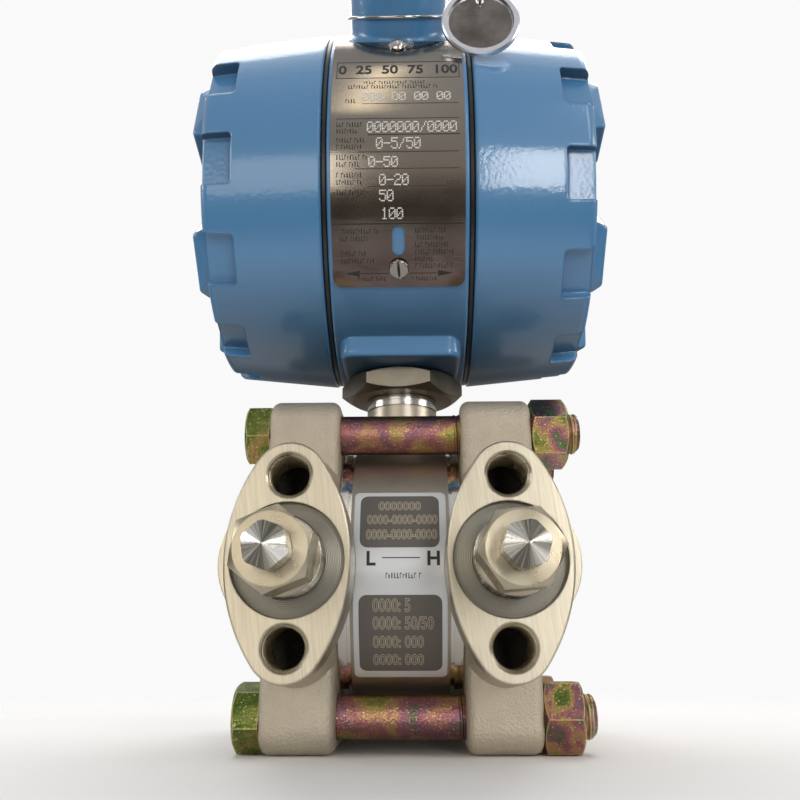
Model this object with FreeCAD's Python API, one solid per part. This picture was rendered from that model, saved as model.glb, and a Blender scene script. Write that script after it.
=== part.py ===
import FreeCAD, Part
import math
import os

# Differential pressure transmitter, millimetres.
# It stands on the lower edges of its two process flanges: Z is up, the front (nameplate, vent
# valves) looks along -Y, and the housing drum and the sensor module both lie along X.
# Everything is drawn about the neck's axis, X = Y = 0 on the base plane, and then moved back by
# neckY, so that the origin is the middle of the footprint from vent valve tips to drum back.

V = FreeCAD.Vector
up, right, front = V(0, 0, 1), V(1, 0, 0), V(0, -1, 0)

# ---- process flanges ----
flangeEdge = 8.9              # from a bolt's axis to the top or the foot
flangeDepth = 68.0            # front to back
flangeThick = 19.6
flangeCornerRadius = 7.0
flangeEdgeRadius = 2.6
moduleLength = 33.7           # the module is what keeps the two flanges apart
portSpacing = 54.0            # between the two process ports
portTubeRadius = 18.4         # cast tube that carries the passage from front face to rear face
faceToFace = 111.0            # over the front and rear connection faces
bossLength = 15.8             # machined oval length behind each connection face
bossTaper = 1.6               # how far the cast root of the oval stands outside it
tappedSpacing = 41.3
tappedRadius = 5.35
tappedDepth = 17.0
ovalEndRadius = 9.25
ovalHalfHeight = 29.0
ovalHalfWidth = 15.4
spotfaceRadius = 14.0
spotfaceDepth = 2.2
portRadius = 6.4              # mean radius of the quarter-inch pipe thread
portDepth = 15.5
passageRadius = 3.1
chamberRadius = 24.0          # shallow chamber over the isolating diaphragm
chamberDepth = 1.2
sealRadius = 28.0             # middle of the process seal ring
sealWidth = 3.4
sealDepth = 2.2

# ---- flange bolts, seven-sixteenths ----
boltRadius = 5.55
boltClearance = 0.4
boltDepthSpacing = 48.0
boltHeadFlats = 15.9
boltHeadHeight = 7.1
boltEndPastNut = 3.6
nutFlats = 17.4
nutHeight = 10.6
threadClearance = 0.05

# ---- sensor module ----
moduleRadius = 38.0
moduleBoltGap = 1.479         # from the module to the shanks that pass round it
moduleBand = 26.2             # matt middle band
weldGrooveWidth = 1.0
weldGrooveDepth = 0.9
modulePolishedStep = 0.3
moduleFrontClearance = 1.2    # under the overhanging ovals
diaphragmThick = 0.25
diaphragmWaves = 4
diaphragmWaveHeight = 0.35
labelWidth = 24.4
labelThick = 0.25
labelTop, labelBottom = 31.5, -47.0   # degrees above and below the horizontal

# ---- neck and lock nut ----
neckRadius = 10.95
neckThreadRadius = 10.2
neckPolishedLength = 3.4
neckGrooveWidth = 0.6
neckGrooveDepth = 0.5
neckBore = 5.5
neckFillet = 1.6
runningClearance = 0.06       # radial, between the neck and the housing that turns on it
lockNutFlats = 33.3
lockNutHeight = 7.2
lockNutRise = 54.7            # of its underside above the module's axis
faceClearance = 0.1           # between faces that turn against one another
neckPastFloor = 2.0

# ---- electronics housing ----
drumRadius = 57.6
mouthBlockDrop = 0.4          # of the neck's block below the drum
bodyWidth = 39.4              # painted width between the cover gaps
coverGap = 1.7                # where the black seal shows
coverWall = 6.8               # from the drum's outside to the spigot
spigotLength = 13.0
spigotThick = 5.8
partitionThick = 4.0
partitionPlace = -10.0        # middle of the wall, left of the conduit entries
pocketHalf = 13.0             # neck pocket, opens to the circuit side only
pocketHeight = 22.0
pocketWall = 3.5
mouthBlockWidth = 36.0        # block under the drum that takes the neck
mouthBlockDepth = 50.0
mouthBlockCorner = 4.0
mouthBlockEdge = 1.6
entryAngle = 39.5             # of each conduit entry from the vertical
entryRadius = 14.9
entryReach = 12.2             # of the entry's end face beyond the drum
entryThreadRadius = 9.9       # mean radius of the half-inch pipe thread
entryDepth = 17.0
entryPassage = 7.5
entryFillet = 1.4

# ---- covers ----
coverLength = 34.3
coverEndWall = 4.6
coverCornerRadius = 2.4
coverThreadLength = 14.0
coverBoreGap = 1.5            # the cover's bore outside the cavity's
coverThreadClearance = 0.3
gripCount = 12
gripWidth = 15.6              # measured round the drum
gripLength = 9.0
gripDepth = 4.2
gripCornerRadius = 1.3
lugCount = 6
lugHeight = 4.5
lugWidth = 24.0
lugLength, lugInset = 20.0, 6.6   # a lug's length, and how far inside the rim it ends
lugSlope = 2.4
dishRadius = 26.0
dishDepth = 1.2
leftGripAngle, rightGripAngle = 9.5, 15.2   # a grip's place from the top, towards the front
leftLugAngle, rightLugAngle = 14.0, 13.0

# ---- nameplate ----
plateWidth = 37.0
plateThick = 0.8
plateTop, plateBottom = 56.4, 136.8   # degrees from the top of the drum, towards the front
plateCornerRadius = 2.6
plateScrewTop, plateScrewBottom = 60.2, 131.4
plateScrewRadius = 1.5
plateScrewHead = 2.8
plateScrewLength = 5.0
slotTop, slotBottom = 119.8, 128.0
slotWidth = 3.6

# ---- vent valves ----
ventFlats = 17.0
ventHexLength = 13.0
ventHexStandoff = 14.2        # hexagon above the spotface
ventCollarGap = 0.5
ventThreadLength = 10.5
ventCollarRadius = 9.3
stemFlats = 9.4
stemHexLength = 6.6
stemPoint = 3.0
stemRadius = 4.1
stemClearance = 0.06
stemStandoff = 0.4
stemReach = 14.0
bleedRadius = 1.2
leftVentTurn, rightVentTurn = 22.0, 5.0
leftStemTurn, rightStemTurn = 40.0, 12.0

# ---- tag wired to the front conduit entry ----
tagRadius = 11.3
tagRim = 1.7
tagThick = 2.0
tagWeb = 0.9
tagX = 24.0
tagGap = 1.0                  # tag's lower edge to the cover
tagHole = 1.3
wireRadius = 0.5

# ---- inside: boards, terminals ----
boardGap = 4.5                # from the boards to the cavity's wall
boardThick = 1.6
boardPlaces = (-18.5, -30.0)
postRadius = 3.0
postInset = 6.5               # of the posts inside the boards' edge
postAngles = (0, 120, 240)
boardScrewRadius = 1.5
terminalBlockGap = 12.0       # from the block to the cavity's wall
terminalBlockThick = 9.0
barrierHeight = 7.0
terminalCount = 3
terminalPitch = 14.0
terminalScrewRadius = 2.0
terminalHeadRadius = 4.2
headerRadius = 8.2
headerHeight = 4.0
pinCount = 6

# ---- places worked out from the sizes above ----
boltReach = moduleRadius + moduleBoltGap + boltRadius
boltHeightSpacing = 2 * math.sqrt(boltReach ** 2 - (boltDepthSpacing / 2) ** 2)
flangeHeight = boltHeightSpacing + 2 * flangeEdge
axisHeight = flangeHeight / 2
flangeInner = moduleLength / 2
flangeOuter = flangeInner + flangeThick
faceY = faceToFace / 2
portX = portSpacing / 2
bodyEdge = bodyWidth / 2
coverStart = bodyEdge + coverGap
coverEnd = coverStart + coverLength
spigotEnd = bodyEdge + spigotLength
lockNutBottom = axisHeight + lockNutRise
lockNutTop = lockNutBottom + lockNutHeight
blockBottom = lockNutTop + faceClearance
drumHeight = blockBottom + mouthBlockDrop + drumRadius
spigotRadius = drumRadius - coverWall
cavityRadius = spigotRadius - spigotThick
coverBoreRadius = cavityRadius + coverBoreGap
entryFace = drumRadius + entryReach
lugOuter = drumRadius - lugInset
lugInner = lugOuter - lugLength
boardRadius = cavityRadius - boardGap
postCircle = boardRadius - postInset
terminalBlockRadius = cavityRadius - terminalBlockGap
floorHeight = drumHeight - cavityRadius
neckTop = floorHeight + neckPastFloor
spotfaceFloor = faceY - spotfaceDepth
ventFace = spotfaceFloor + ventHexStandoff + ventHexLength
stemTip = ventFace + stemStandoff + stemHexLength + stemPoint
neckY = (stemTip - drumRadius) / 2
drumCentre = V(0, 0, drumHeight)
wallLeft = partitionPlace - partitionThick / 2
wallRight = partitionPlace + partitionThick / 2
terminalSeat = pocketHalf + pocketWall


def turned(profile):
    # solid of revolution about Z from (radius, height) points
    wire = Part.makePolygon([V(r, 0, z) for r, z in profile + profile[:1]])
    return Part.Face(wire).revolve(V(0, 0, 0), up, 360)


def rod(radius, start, end):
    return Part.makeCylinder(radius, end - start, V(0, 0, start))


def frameAt(base, axis, side):
    # placement whose Z is the given axis and whose X points to the given side
    return FreeCAD.Placement(base, FreeCAD.Rotation(side, axis.cross(side), axis, "ZXY"))


def moved(shape, placement):
    shape = shape.copy()
    shape.Placement = placement.multiply(shape.Placement)
    return shape


def placed(shape, base, axis, side, turn=0):
    shape = shape.copy()
    shape.rotate(V(0, 0, 0), up, turn)
    return moved(shape, frameAt(base, axis, side))


def hexBar(flats, start, end):
    corner = flats / math.sqrt(3)
    ring = [V(corner * math.cos(math.radians(a)), corner * math.sin(math.radians(a)), start)
            for a in range(0, 361, 60)]
    return Part.Face(Part.makePolygon(ring)).extrude(V(0, 0, end - start))


def chamferedHex(flats, start, end, lowChamfer=True, highChamfer=True):
    # hexagon whose corners are turned off at 30 degrees, as on nuts and bolt heads
    corner = flats / math.sqrt(3)
    drop = (corner - flats * 0.475) * math.tan(math.radians(30))
    face = flats * 0.475
    low = [(face, start), (corner, start + drop)] if lowChamfer else [(corner, start)]
    high = [(corner, end - drop), (face, end)] if highChamfer else [(corner, end)]
    return hexBar(flats, start, end).common(turned([(0, start)] + low + high + [(0, end)]))


def edgesWhere(shape, test):
    return [e for e in shape.Edges if test(e)]


def radialDirection(angle):
    # from the drum's axis, the angle being from the top towards the front
    a = math.radians(angle)
    return V(0, -math.sin(a), math.cos(a))


def save(name, shape):
    assert shape.isValid(), name
    shape = shape.copy()
    shape.translate(V(0, neckY, 0))
    shape.exportStep("parts/%s.step" % name)


# ---- process flange: one function for both sides, side is +1 or -1 ----
def ovalFace(grow=0.0):
    # oval connection face in local X (width) and Y (height): two end arcs and two long side arcs,
    # tangent where they meet; the side radius follows from the other three sizes
    centre = ovalHalfHeight - ovalEndRadius
    sideRadius = (ovalHalfWidth ** 2 + centre ** 2 - ovalEndRadius ** 2) / (
        2 * (ovalHalfWidth - ovalEndRadius))
    sideCentre = sideRadius - ovalHalfWidth
    reach = math.hypot(sideCentre, centre)
    endR = ovalEndRadius + grow
    meet = V(sideCentre / reach * endR, centre + centre / reach * endR, 0)
    tip, side = V(0, ovalHalfHeight + grow, 0), V(ovalHalfWidth + grow, 0, 0)

    def flip(p, sx, sy):
        return V(p.x * sx, p.y * sy, 0)

    edges = []
    for sense in (1, -1):
        edges.append(Part.Arc(flip(meet, 1, sense), tip * sense, flip(meet, -1, sense)).toShape())
        edges.append(Part.Arc(flip(meet, sense, 1), side * sense, flip(meet, sense, -1)).toShape())
    return Part.Face(Part.Wire(Part.__sortEdges__(edges)))


def flange(side):
    plate = Part.makeBox(flangeThick, flangeDepth, flangeHeight,
                         V(flangeInner, -flangeDepth / 2, 0))
    plate = plate.makeFillet(flangeCornerRadius, edgesWhere(
        plate, lambda e: abs(e.tangentAt(e.FirstParameter).x) > 0.9))
    rims = edgesWhere(plate, lambda e: abs(e.BoundBox.XMax - e.BoundBox.XMin) < 1e-6)
    plate = plate.makeFillet(flangeEdgeRadius, rims)

    tube = placed(rod(portTubeRadius, -faceY + bossLength / 2, faceY - bossLength / 2),
                  V(portX, 0, axisHeight), front, right)
    # the tube is flat on the module's side
    tube = tube.cut(Part.makeBox(portX, faceToFace, flangeHeight, V(flangeInner - portX, -faceY, 0)))
    body = plate.fuse(tube)
    for facing in (1, -1):
        axis = front * facing
        foot = moved(ovalFace(bossTaper), frameAt(
            V(portX, -facing * (flangeDepth / 2 - 1), axisHeight), axis, right * facing))
        neck = moved(ovalFace(), frameAt(
            V(portX, -facing * (faceY - bossLength), axisHeight), axis, right * facing))
        root = Part.makeLoft([foot.OuterWire, neck.OuterWire], True, True)
        oval = neck.extrude(axis * bossLength)
        body = body.fuse([root, oval])
    # the ovals overhang the module; everything behind them stays clear of it
    gapHalf = moduleRadius + moduleFrontClearance
    body = body.cut(Part.makeBox(flangeInner + 30, 2 * gapHalf, flangeHeight,
                                 V(-30, -gapHalf, 0)))
    body = body.removeSplitter()
    machined = edgesWhere(body, lambda e: abs(abs(e.BoundBox.YMin) - faceY) < 1e-4
                          and abs(abs(e.BoundBox.YMax) - faceY) < 1e-4)
    body = body.makeChamfer(0.4, machined)

    for y in (-1, 1):
        for z in (-1, 1):
            body = body.cut(placed(
                rod(boltRadius + boltClearance, flangeInner - 1, flangeOuter + 1),
                V(0, y * boltDepthSpacing / 2, axisHeight + z * boltHeightSpacing / 2), right, up))
    port = turned([(0, 0), (portRadius, 0), (portRadius, -portDepth),
                   (passageRadius, -portDepth - 2.0), (passageRadius, -faceY), (0, -faceY)])
    spotface = rod(spotfaceRadius, -spotfaceDepth, 1)
    tapped = turned([(0, 1), (tappedRadius + 1.6, 1), (tappedRadius, -0.6),
                     (tappedRadius, -tappedDepth), (0, -tappedDepth - tappedRadius * 0.6)])
    for facing in (1, -1):
        for tool, lift, depth in ((port, 0, spotfaceDepth), (spotface, 0, 0),
                                  (tapped, tappedSpacing / 2, 0), (tapped, -tappedSpacing / 2, 0)):
            body = body.cut(placed(
                tool, V(portX, -facing * (faceY - depth), axisHeight + lift),
                front * facing, right * facing))
    inward = turned([(0, 0), (chamberRadius, 0), (chamberRadius, chamberDepth),
                     (passageRadius + 4, chamberDepth + 1.0), (passageRadius, chamberDepth + 2.5),
                     (passageRadius, portX - flangeInner), (0, portX - flangeInner)])
    groove = turned([(sealRadius - sealWidth / 2, -1), (sealRadius + sealWidth / 2, -1),
                     (sealRadius + sealWidth / 2, sealDepth), (sealRadius - sealWidth / 2, sealDepth)])
    for tool in (inward, groove):
        body = body.cut(placed(tool, V(flangeInner, 0, axisHeight), right, up))
    return body if side > 0 else body.mirror(V(0, 0, 0), right)


def processSeal(side):
    half = sealWidth / 2 - 0.1
    ring = turned([(sealRadius - half, 0), (sealRadius + half, 0), (sealRadius + half, sealDepth - 0.6),
                   (sealRadius + half - 0.6, sealDepth), (sealRadius - half + 0.6, sealDepth),
                   (sealRadius - half, sealDepth - 0.6)])
    ring = placed(ring, V(flangeInner, 0, axisHeight), right, up)
    return ring if side > 0 else ring.mirror(V(0, 0, 0), right)


def diaphragm(side):
    # thin corrugated disc seated in the module's end face
    step = (chamberRadius - 6.0) / (diaphragmWaves * 2)
    low, high = [(0, 0)], [(0, diaphragmThick)]
    for i in range(diaphragmWaves * 2 + 1):
        rise = diaphragmWaveHeight * (i % 2)
        low.append((4.0 + i * step, rise))
        high.append((4.0 + i * step, rise + diaphragmThick))
    low.append((chamberRadius - 0.3, 0))
    high.append((chamberRadius - 0.3, diaphragmThick))
    disc = placed(turned(low + high[::-1]), V(flangeInner, 0, axisHeight), right, up)
    return disc if side > 0 else disc.mirror(V(0, 0, 0), right)


# ---- sensor module with its welded neck ----
def sensorModule():
    half, band = moduleLength / 2, moduleBand / 2
    polished = moduleRadius - modulePolishedStep
    floor = moduleRadius - weldGrooveDepth
    side = [(floor, band), (floor, band + weldGrooveWidth), (polished, band + weldGrooveWidth),
            (polished, half - 0.5), (polished - 0.5, half)]
    profile = [(moduleRadius, band)] + side
    drum = turned([(0, -half)] + [(r, -z) for r, z in profile[::-1]] + profile + [(0, half)])
    drum = placed(drum, V(0, 0, axisHeight), right, up)
    grooveTop = lockNutBottom - neckPolishedLength
    outer = [(neckRadius, axisHeight + 20), (neckRadius, grooveTop - neckGrooveWidth),
             (neckRadius - neckGrooveDepth, grooveTop - neckGrooveWidth),
             (neckRadius - neckGrooveDepth, grooveTop), (neckRadius, grooveTop),
             (neckRadius, lockNutBottom - 0.4), (neckThreadRadius, lockNutBottom - 0.4),
             (neckThreadRadius, neckTop - 0.6), (neckThreadRadius - 0.6, neckTop)]
    neck = turned([(0, axisHeight + 20)] + outer + [(0, neckTop)])
    body = drum.fuse(neck)
    seam = edgesWhere(body, lambda e: axisHeight + moduleRadius - 3 < e.BoundBox.ZMin
                      and e.BoundBox.ZMax < axisHeight + moduleRadius + 0.5
                      and abs(e.BoundBox.XMax + e.BoundBox.XMin) < 0.1
                      and e.BoundBox.XMax < neckRadius + 1)
    body = body.makeFillet(neckFillet, seam)
    return body.cut(turned([(0, neckTop - 14), (neckBore, neckTop - 14), (neckBore, neckTop + 1),
                            (0, neckTop + 1)]))


def moduleLabel():
    a0, a1 = math.radians(labelBottom), math.radians(labelTop)

    def at(radius, angle):
        return V(0, -radius * math.cos(angle), axisHeight + radius * math.sin(angle))

    outer, mid = moduleRadius + labelThick, (a0 + a1) / 2
    edges = [Part.Arc(at(moduleRadius, a0), at(moduleRadius, mid), at(moduleRadius, a1)).toShape(),
             Part.LineSegment(at(moduleRadius, a1), at(outer, a1)).toShape(),
             Part.Arc(at(outer, a1), at(outer, mid), at(outer, a0)).toShape(),
             Part.LineSegment(at(outer, a0), at(moduleRadius, a0)).toShape()]
    face = Part.Face(Part.Wire(edges))
    face.translate(right * (-labelWidth / 2))
    label = face.extrude(right * labelWidth)
    corners = edgesWhere(label, lambda e: e.Length < labelThick * 1.5)
    return label.makeFillet(1.5, corners)


def lockNut():
    nut = chamferedHex(lockNutFlats, lockNutBottom, lockNutTop)
    nut = nut.cut(rod(neckThreadRadius + runningClearance, lockNutBottom - 1, lockNutTop + 1))
    nut.rotate(V(0, 0, 0), up, -3)
    return nut


# ---- electronics housing ----
def drumPart(shape):
    # drum pieces are made about Z: their X becomes up, their Y the front and their Z the right
    return moved(shape, frameAt(drumCentre, right, up))


def housingBody():
    ring = turned([(0, -bodyEdge), (drumRadius - 0.5, -bodyEdge), (drumRadius, 0.5 - bodyEdge),
                   (drumRadius, bodyEdge - 0.5), (drumRadius - 0.5, bodyEdge), (0, bodyEdge)])
    spigot = turned([(0, -spigotEnd), (spigotRadius - 1, -spigotEnd), (spigotRadius, 1 - spigotEnd),
                     (spigotRadius, spigotEnd - 1), (spigotRadius - 1, spigotEnd), (0, spigotEnd)])
    drum = drumPart(ring)
    block = Part.makeBox(mouthBlockWidth, mouthBlockDepth, drumHeight - blockBottom - 20,
                         V(-mouthBlockWidth / 2, -mouthBlockDepth / 2, blockBottom))
    block = block.makeFillet(mouthBlockCorner, edgesWhere(
        block, lambda e: abs(e.tangentAt(e.FirstParameter).z) > 0.9))
    block = block.makeFillet(mouthBlockEdge, edgesWhere(
        block, lambda e: e.BoundBox.ZMax < blockBottom + 0.01))
    body = drum.fuse(block)
    entryRoot = cavityRadius - 15
    for sense in (1, -1):
        axis = radialDirection(sense * entryAngle)
        entry = placed(turned([(0, entryRoot), (entryRadius, entryRoot), (entryRadius, entryFace - 0.8),
                               (entryRadius - 0.8, entryFace), (0, entryFace)]),
                       drumCentre, axis, right)
        body = body.fuse(entry)
    body = body.removeSplitter()

    def onEntry(e):
        c = e.CenterOfMass - drumCentre
        return (e.Length > 4 * entryRadius and abs(c.x) < 0.5 and abs(c.Length - drumRadius) < 5 and c.z > 0
                and e.BoundBox.XMax < entryRadius + 0.5)

    body = body.makeFillet(entryFillet, edgesWhere(body, onEntry))
    body = body.fuse(drumPart(spigot))

    circuitSide = rod(cavityRadius, -spigotEnd - 1, wallLeft)
    terminalSide = rod(cavityRadius, wallRight, spigotEnd + 1)
    # the neck's pocket reaches under the terminal side and opens to the circuit side
    pocketTop = -cavityRadius + pocketHeight
    keep = Part.makeBox(drumRadius + pocketTop + pocketWall, 2 * (pocketHalf + pocketWall),
                        pocketHalf + pocketWall - wallRight,
                        V(-drumRadius, -pocketHalf - pocketWall, wallRight))
    pocket = Part.makeBox(drumRadius + pocketTop, 2 * pocketHalf, pocketHalf - wallLeft + 1,
                          V(-drumRadius, -pocketHalf, wallLeft - 1))
    pocket = pocket.common(rod(cavityRadius, -spigotEnd, spigotEnd))
    pocket = pocket.makeFillet(2.0, edgesWhere(
        pocket, lambda e: e.BoundBox.XMin > pocketTop - 0.01 and e.BoundBox.ZMin > wallLeft))
    body = body.cut([drumPart(circuitSide), drumPart(terminalSide.cut(keep)), drumPart(pocket)])
    body = body.cut(rod(neckThreadRadius + runningClearance, blockBottom - 1, floorHeight + 4))
    body = body.cut(turned([(0, blockBottom - 1), (neckThreadRadius + 2, blockBottom - 1),
                            (neckThreadRadius + runningClearance, blockBottom + 1.2),
                            (0, blockBottom + 1.2)]))
    bore = turned([(0, 25), (entryPassage, 25), (entryPassage, entryFace - entryDepth - 2.0),
                   (entryThreadRadius, entryFace - entryDepth), (entryThreadRadius, entryFace - 1.0),
                   (entryThreadRadius + 1.0, entryFace), (entryThreadRadius + 1.0, entryFace + 1),
                   (0, entryFace + 1)])
    for sense in (1, -1):
        body = body.cut(placed(bore, drumCentre, radialDirection(sense * entryAngle), right))
    for angle in postAngles:
        a = math.radians(angle)
        post = Part.makeCylinder(postRadius, wallLeft - boardPlaces[0],
                                 V(postCircle * math.cos(a), postCircle * math.sin(a),
                                   boardPlaces[0]))
        body = body.fuse(drumPart(post))
    for angle in (plateScrewTop, plateScrewBottom):
        body = body.cut(placed(rod(plateScrewRadius, drumRadius - plateScrewLength - 0.5,
                                   drumRadius + 5), drumCentre, radialDirection(angle), right))
    return body.removeSplitter()


def cover(side):
    outer = turned([(0, coverEnd), (drumRadius, coverEnd), (drumRadius, coverStart + 0.6),
                    (drumRadius - 0.6, coverStart), (0, coverStart)])
    rim = edgesWhere(outer, lambda e: e.BoundBox.ZMin > coverEnd - 0.01 and e.Length > 100)
    outer = outer.makeFillet(coverCornerRadius, rim)
    grip = Part.makeBox(gripDepth + 5, gripWidth, gripLength + 5,
                        V(drumRadius - gripDepth, -gripWidth / 2, coverEnd - gripLength))
    grip = grip.makeFillet(gripCornerRadius, edgesWhere(
        grip, lambda e: e.BoundBox.XMax < drumRadius and e.BoundBox.ZMax < coverEnd + 5
        or e.BoundBox.ZMax < coverEnd))
    for i in range(gripCount):
        tool = grip.copy()
        tool.rotate(V(0, 0, 0), up, i * 360 / gripCount)
        outer = outer.cut(tool)
    lug = Part.makeLoft([Part.makePolygon([
        V(x, y, z) for x, y in ((lugInner + k, -lugWidth / 2 + k), (lugOuter - k, -lugWidth / 2 + k),
                                (lugOuter - k, lugWidth / 2 - k), (lugInner + k, lugWidth / 2 - k),
                                (lugInner + k, -lugWidth / 2 + k))])
        for k, z in ((-0.5, coverEnd - 1), (lugSlope, coverEnd + lugHeight))], True, True)
    lug = lug.makeFillet(1.6, edgesWhere(lug, lambda e: e.BoundBox.ZMax > coverEnd))
    lug = lug.common(turned([(0, coverEnd - 1), (lugOuter, coverEnd - 1), (lugOuter - 2, coverEnd + 6),
                             (0, coverEnd + 6)]))
    gripAngle = rightGripAngle if side > 0 else leftGripAngle
    lugAngle = rightLugAngle if side > 0 else leftLugAngle
    for i in range(lugCount):
        one = lug.copy()
        one.rotate(V(0, 0, 0), up, side * (lugAngle - gripAngle) + i * 360 / lugCount)
        outer = outer.fuse(one)
    outer = outer.cut(turned([(0, coverEnd - dishDepth), (dishRadius - 2, coverEnd - dishDepth),
                              (dishRadius, coverEnd + 0.01), (0, coverEnd + 0.01)]))
    threadBore = spigotRadius + coverThreadClearance
    inside = turned([(0, coverStart - 1), (threadBore, coverStart - 1),
                     (threadBore, coverStart + coverThreadLength),
                     (coverBoreRadius, coverStart + coverThreadLength + 3),
                     (coverBoreRadius, coverEnd - coverEndWall - 3),
                     (coverBoreRadius - 3, coverEnd - coverEndWall), (0, coverEnd - coverEndWall)])
    shell = outer.cut(inside).removeSplitter()
    if side > 0:
        return placed(shell, drumCentre, right, up, rightGripAngle)
    return placed(shell, drumCentre, -right, up, -leftGripAngle)


def coverSeal(side):
    low, high = spigotRadius + 0.15, drumRadius - 0.5
    end = coverStart - faceClearance
    ring = turned([(low, bodyEdge), (high - 0.4, bodyEdge), (high, bodyEdge + 0.4),
                   (high, end - 0.4), (high - 0.4, end), (low, end)])
    return placed(ring, drumCentre, right * side, up)


# ---- nameplate and its screws ----
def nameplate():
    a0, a1 = math.radians(plateTop), math.radians(plateBottom)

    def at(radius, angle):
        return V(radius * math.cos(angle), radius * math.sin(angle), -plateWidth / 2)

    low, high, mid = drumRadius + 0.02, drumRadius + plateThick, (a0 + a1) / 2
    edges = [Part.Arc(at(low, a0), at(low, mid), at(low, a1)).toShape(),
             Part.LineSegment(at(low, a1), at(high, a1)).toShape(),
             Part.Arc(at(high, a1), at(high, mid), at(high, a0)).toShape(),
             Part.LineSegment(at(high, a0), at(low, a0)).toShape()]
    plate = drumPart(Part.Face(Part.Wire(edges)).extrude(V(0, 0, plateWidth)))
    plate = plate.makeFillet(plateCornerRadius, edgesWhere(
        plate, lambda e: e.Length < plateThick * 1.5))
    for angle in (plateScrewTop, plateScrewBottom):
        plate = plate.cut(placed(rod(plateScrewRadius + 0.15, drumRadius - 5, drumRadius + 5), drumCentre,
                                 radialDirection(angle), right))
    middle = radialDirection((slotTop + slotBottom) / 2)
    length = math.radians(slotBottom - slotTop) * drumRadius
    slot = Part.makeBox(slotWidth, length - slotWidth, 15,
                        V(-slotWidth / 2, (slotWidth - length) / 2, drumRadius - 5))
    for end in (-1, 1):
        slot = slot.fuse(Part.makeCylinder(slotWidth / 2, 15,
                                           V(0, end * (length - slotWidth) / 2, drumRadius - 5)))
    return plate.cut(placed(slot, drumCentre, middle, right))


def domeScrew():
    head = Part.makeSphere(3.4).common(rod(plateScrewHead, 3.4 - 2.0, 3.4))
    head.translate(V(0, 0, drumRadius + plateThick + 2.0 - 3.4))
    shank = rod(plateScrewRadius - 0.02, drumRadius - plateScrewLength, drumRadius + plateThick + 0.5)
    return placed(head.fuse(shank), drumCentre, radialDirection(plateScrewTop), right)


def slottedScrew():
    seat = drumRadius + plateThick
    head = rod(plateScrewHead, seat, seat + 1.9)
    head = head.makeFillet(0.6, edgesWhere(head, lambda e: e.BoundBox.ZMin > seat + 1.8))
    shank = rod(plateScrewRadius - 0.02, drumRadius - plateScrewLength, seat + 0.5)
    slot = Part.makeBox(0.8, 10, 2, V(-0.4, -5, seat + 0.9))
    return placed(head.fuse(shank).cut(slot), drumCentre, radialDirection(plateScrewBottom),
                  right, 8)


# ---- fasteners ----
def boltPlaces():
    # each bolt's place, and how its head and its nut came to rest when tightened; the lower
    # ones show a flat, not a corner, to the base plane
    for y, z, headTurn, nutTurn in ((-1, 1, 42, 14), (-1, -1, 44, 30), (1, 1, 8, 51), (1, -1, 17, 30)):
        place = V(0, y * boltDepthSpacing / 2, axisHeight + z * boltHeightSpacing / 2)
        yield place, headTurn, nutTurn


def flangeBolts():
    end = flangeOuter + nutHeight + boltEndPastNut
    bolt = chamferedHex(boltHeadFlats, -flangeOuter - boltHeadHeight, -flangeOuter, True, False)
    shank = turned([(0, -flangeOuter - 1), (boltRadius, -flangeOuter - 1), (boltRadius, end - 1.2),
                    (boltRadius - 1.2, end), (0, end)])
    bolt = bolt.fuse(shank).removeSplitter()
    return Part.makeCompound([placed(bolt, at, right, up, turn) for at, turn, _ in boltPlaces()])


def flangeNuts():
    nut = chamferedHex(nutFlats, flangeOuter, flangeOuter + nutHeight)
    nut = nut.cut(rod(boltRadius + threadClearance, flangeOuter - 1, flangeOuter + nutHeight + 1))
    return Part.makeCompound([placed(nut, at, right, up, turn) for at, _, turn in boltPlaces()])


# ---- vent valve in each front port ----
def ventBody(side, turn):
    hexStart = spotfaceFloor + ventHexStandoff
    mouth = portRadius - threadClearance
    body = chamferedHex(ventFlats, hexStart, ventFace, False, True)
    low = spotfaceFloor - ventThreadLength
    seat = spotfaceFloor + ventCollarGap
    neck = turned([(0, low), (mouth - 1.0, low), (mouth, low + 1.0), (mouth, seat),
                   (ventCollarRadius - 0.8, seat), (ventCollarRadius, seat + 0.8),
                   (ventCollarRadius, hexStart - 1.8), (ventCollarRadius - 1.0, hexStart - 1.2),
                   (ventCollarRadius - 1.0, hexStart + 0.5), (0, hexStart + 0.5)])
    bore = turned([(0, low - 1), (2.0, low - 1), (2.0, ventFace - stemReach - 2),
                   (stemRadius + stemClearance, ventFace - stemReach),
                   (stemRadius + stemClearance, ventFace + 1), (0, ventFace + 1)])
    bleed = Part.makeCylinder(bleedRadius, ventFlats, V(0, 0, hexStart + 3),
                              V(math.cos(math.radians(30)), math.sin(math.radians(30)), 0))
    body = body.fuse(neck).cut(bore).cut(bleed).removeSplitter()
    return placed(body, V(side * portX, 0, axisHeight), front, right, turn)


def ventStem(side, turn):
    start = ventFace + stemStandoff
    end = start + stemHexLength
    corner = stemFlats / math.sqrt(3) - 0.3
    head = hexBar(stemFlats, start, end + stemPoint).common(
        turned([(0, start), (corner - 0.2, start), (corner, start + 0.2), (corner, end),
                (0, end + stemPoint)]))
    stem = turned([(0, ventFace - stemReach - 1.2), (1.2, ventFace - stemReach - 1.2),
                   (stemRadius, ventFace - stemReach + 2.2), (stemRadius, start + 1), (0, start + 1)])
    return placed(head.fuse(stem).removeSplitter(), V(side * portX, 0, axisHeight),
                  front, right, turn)


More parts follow.
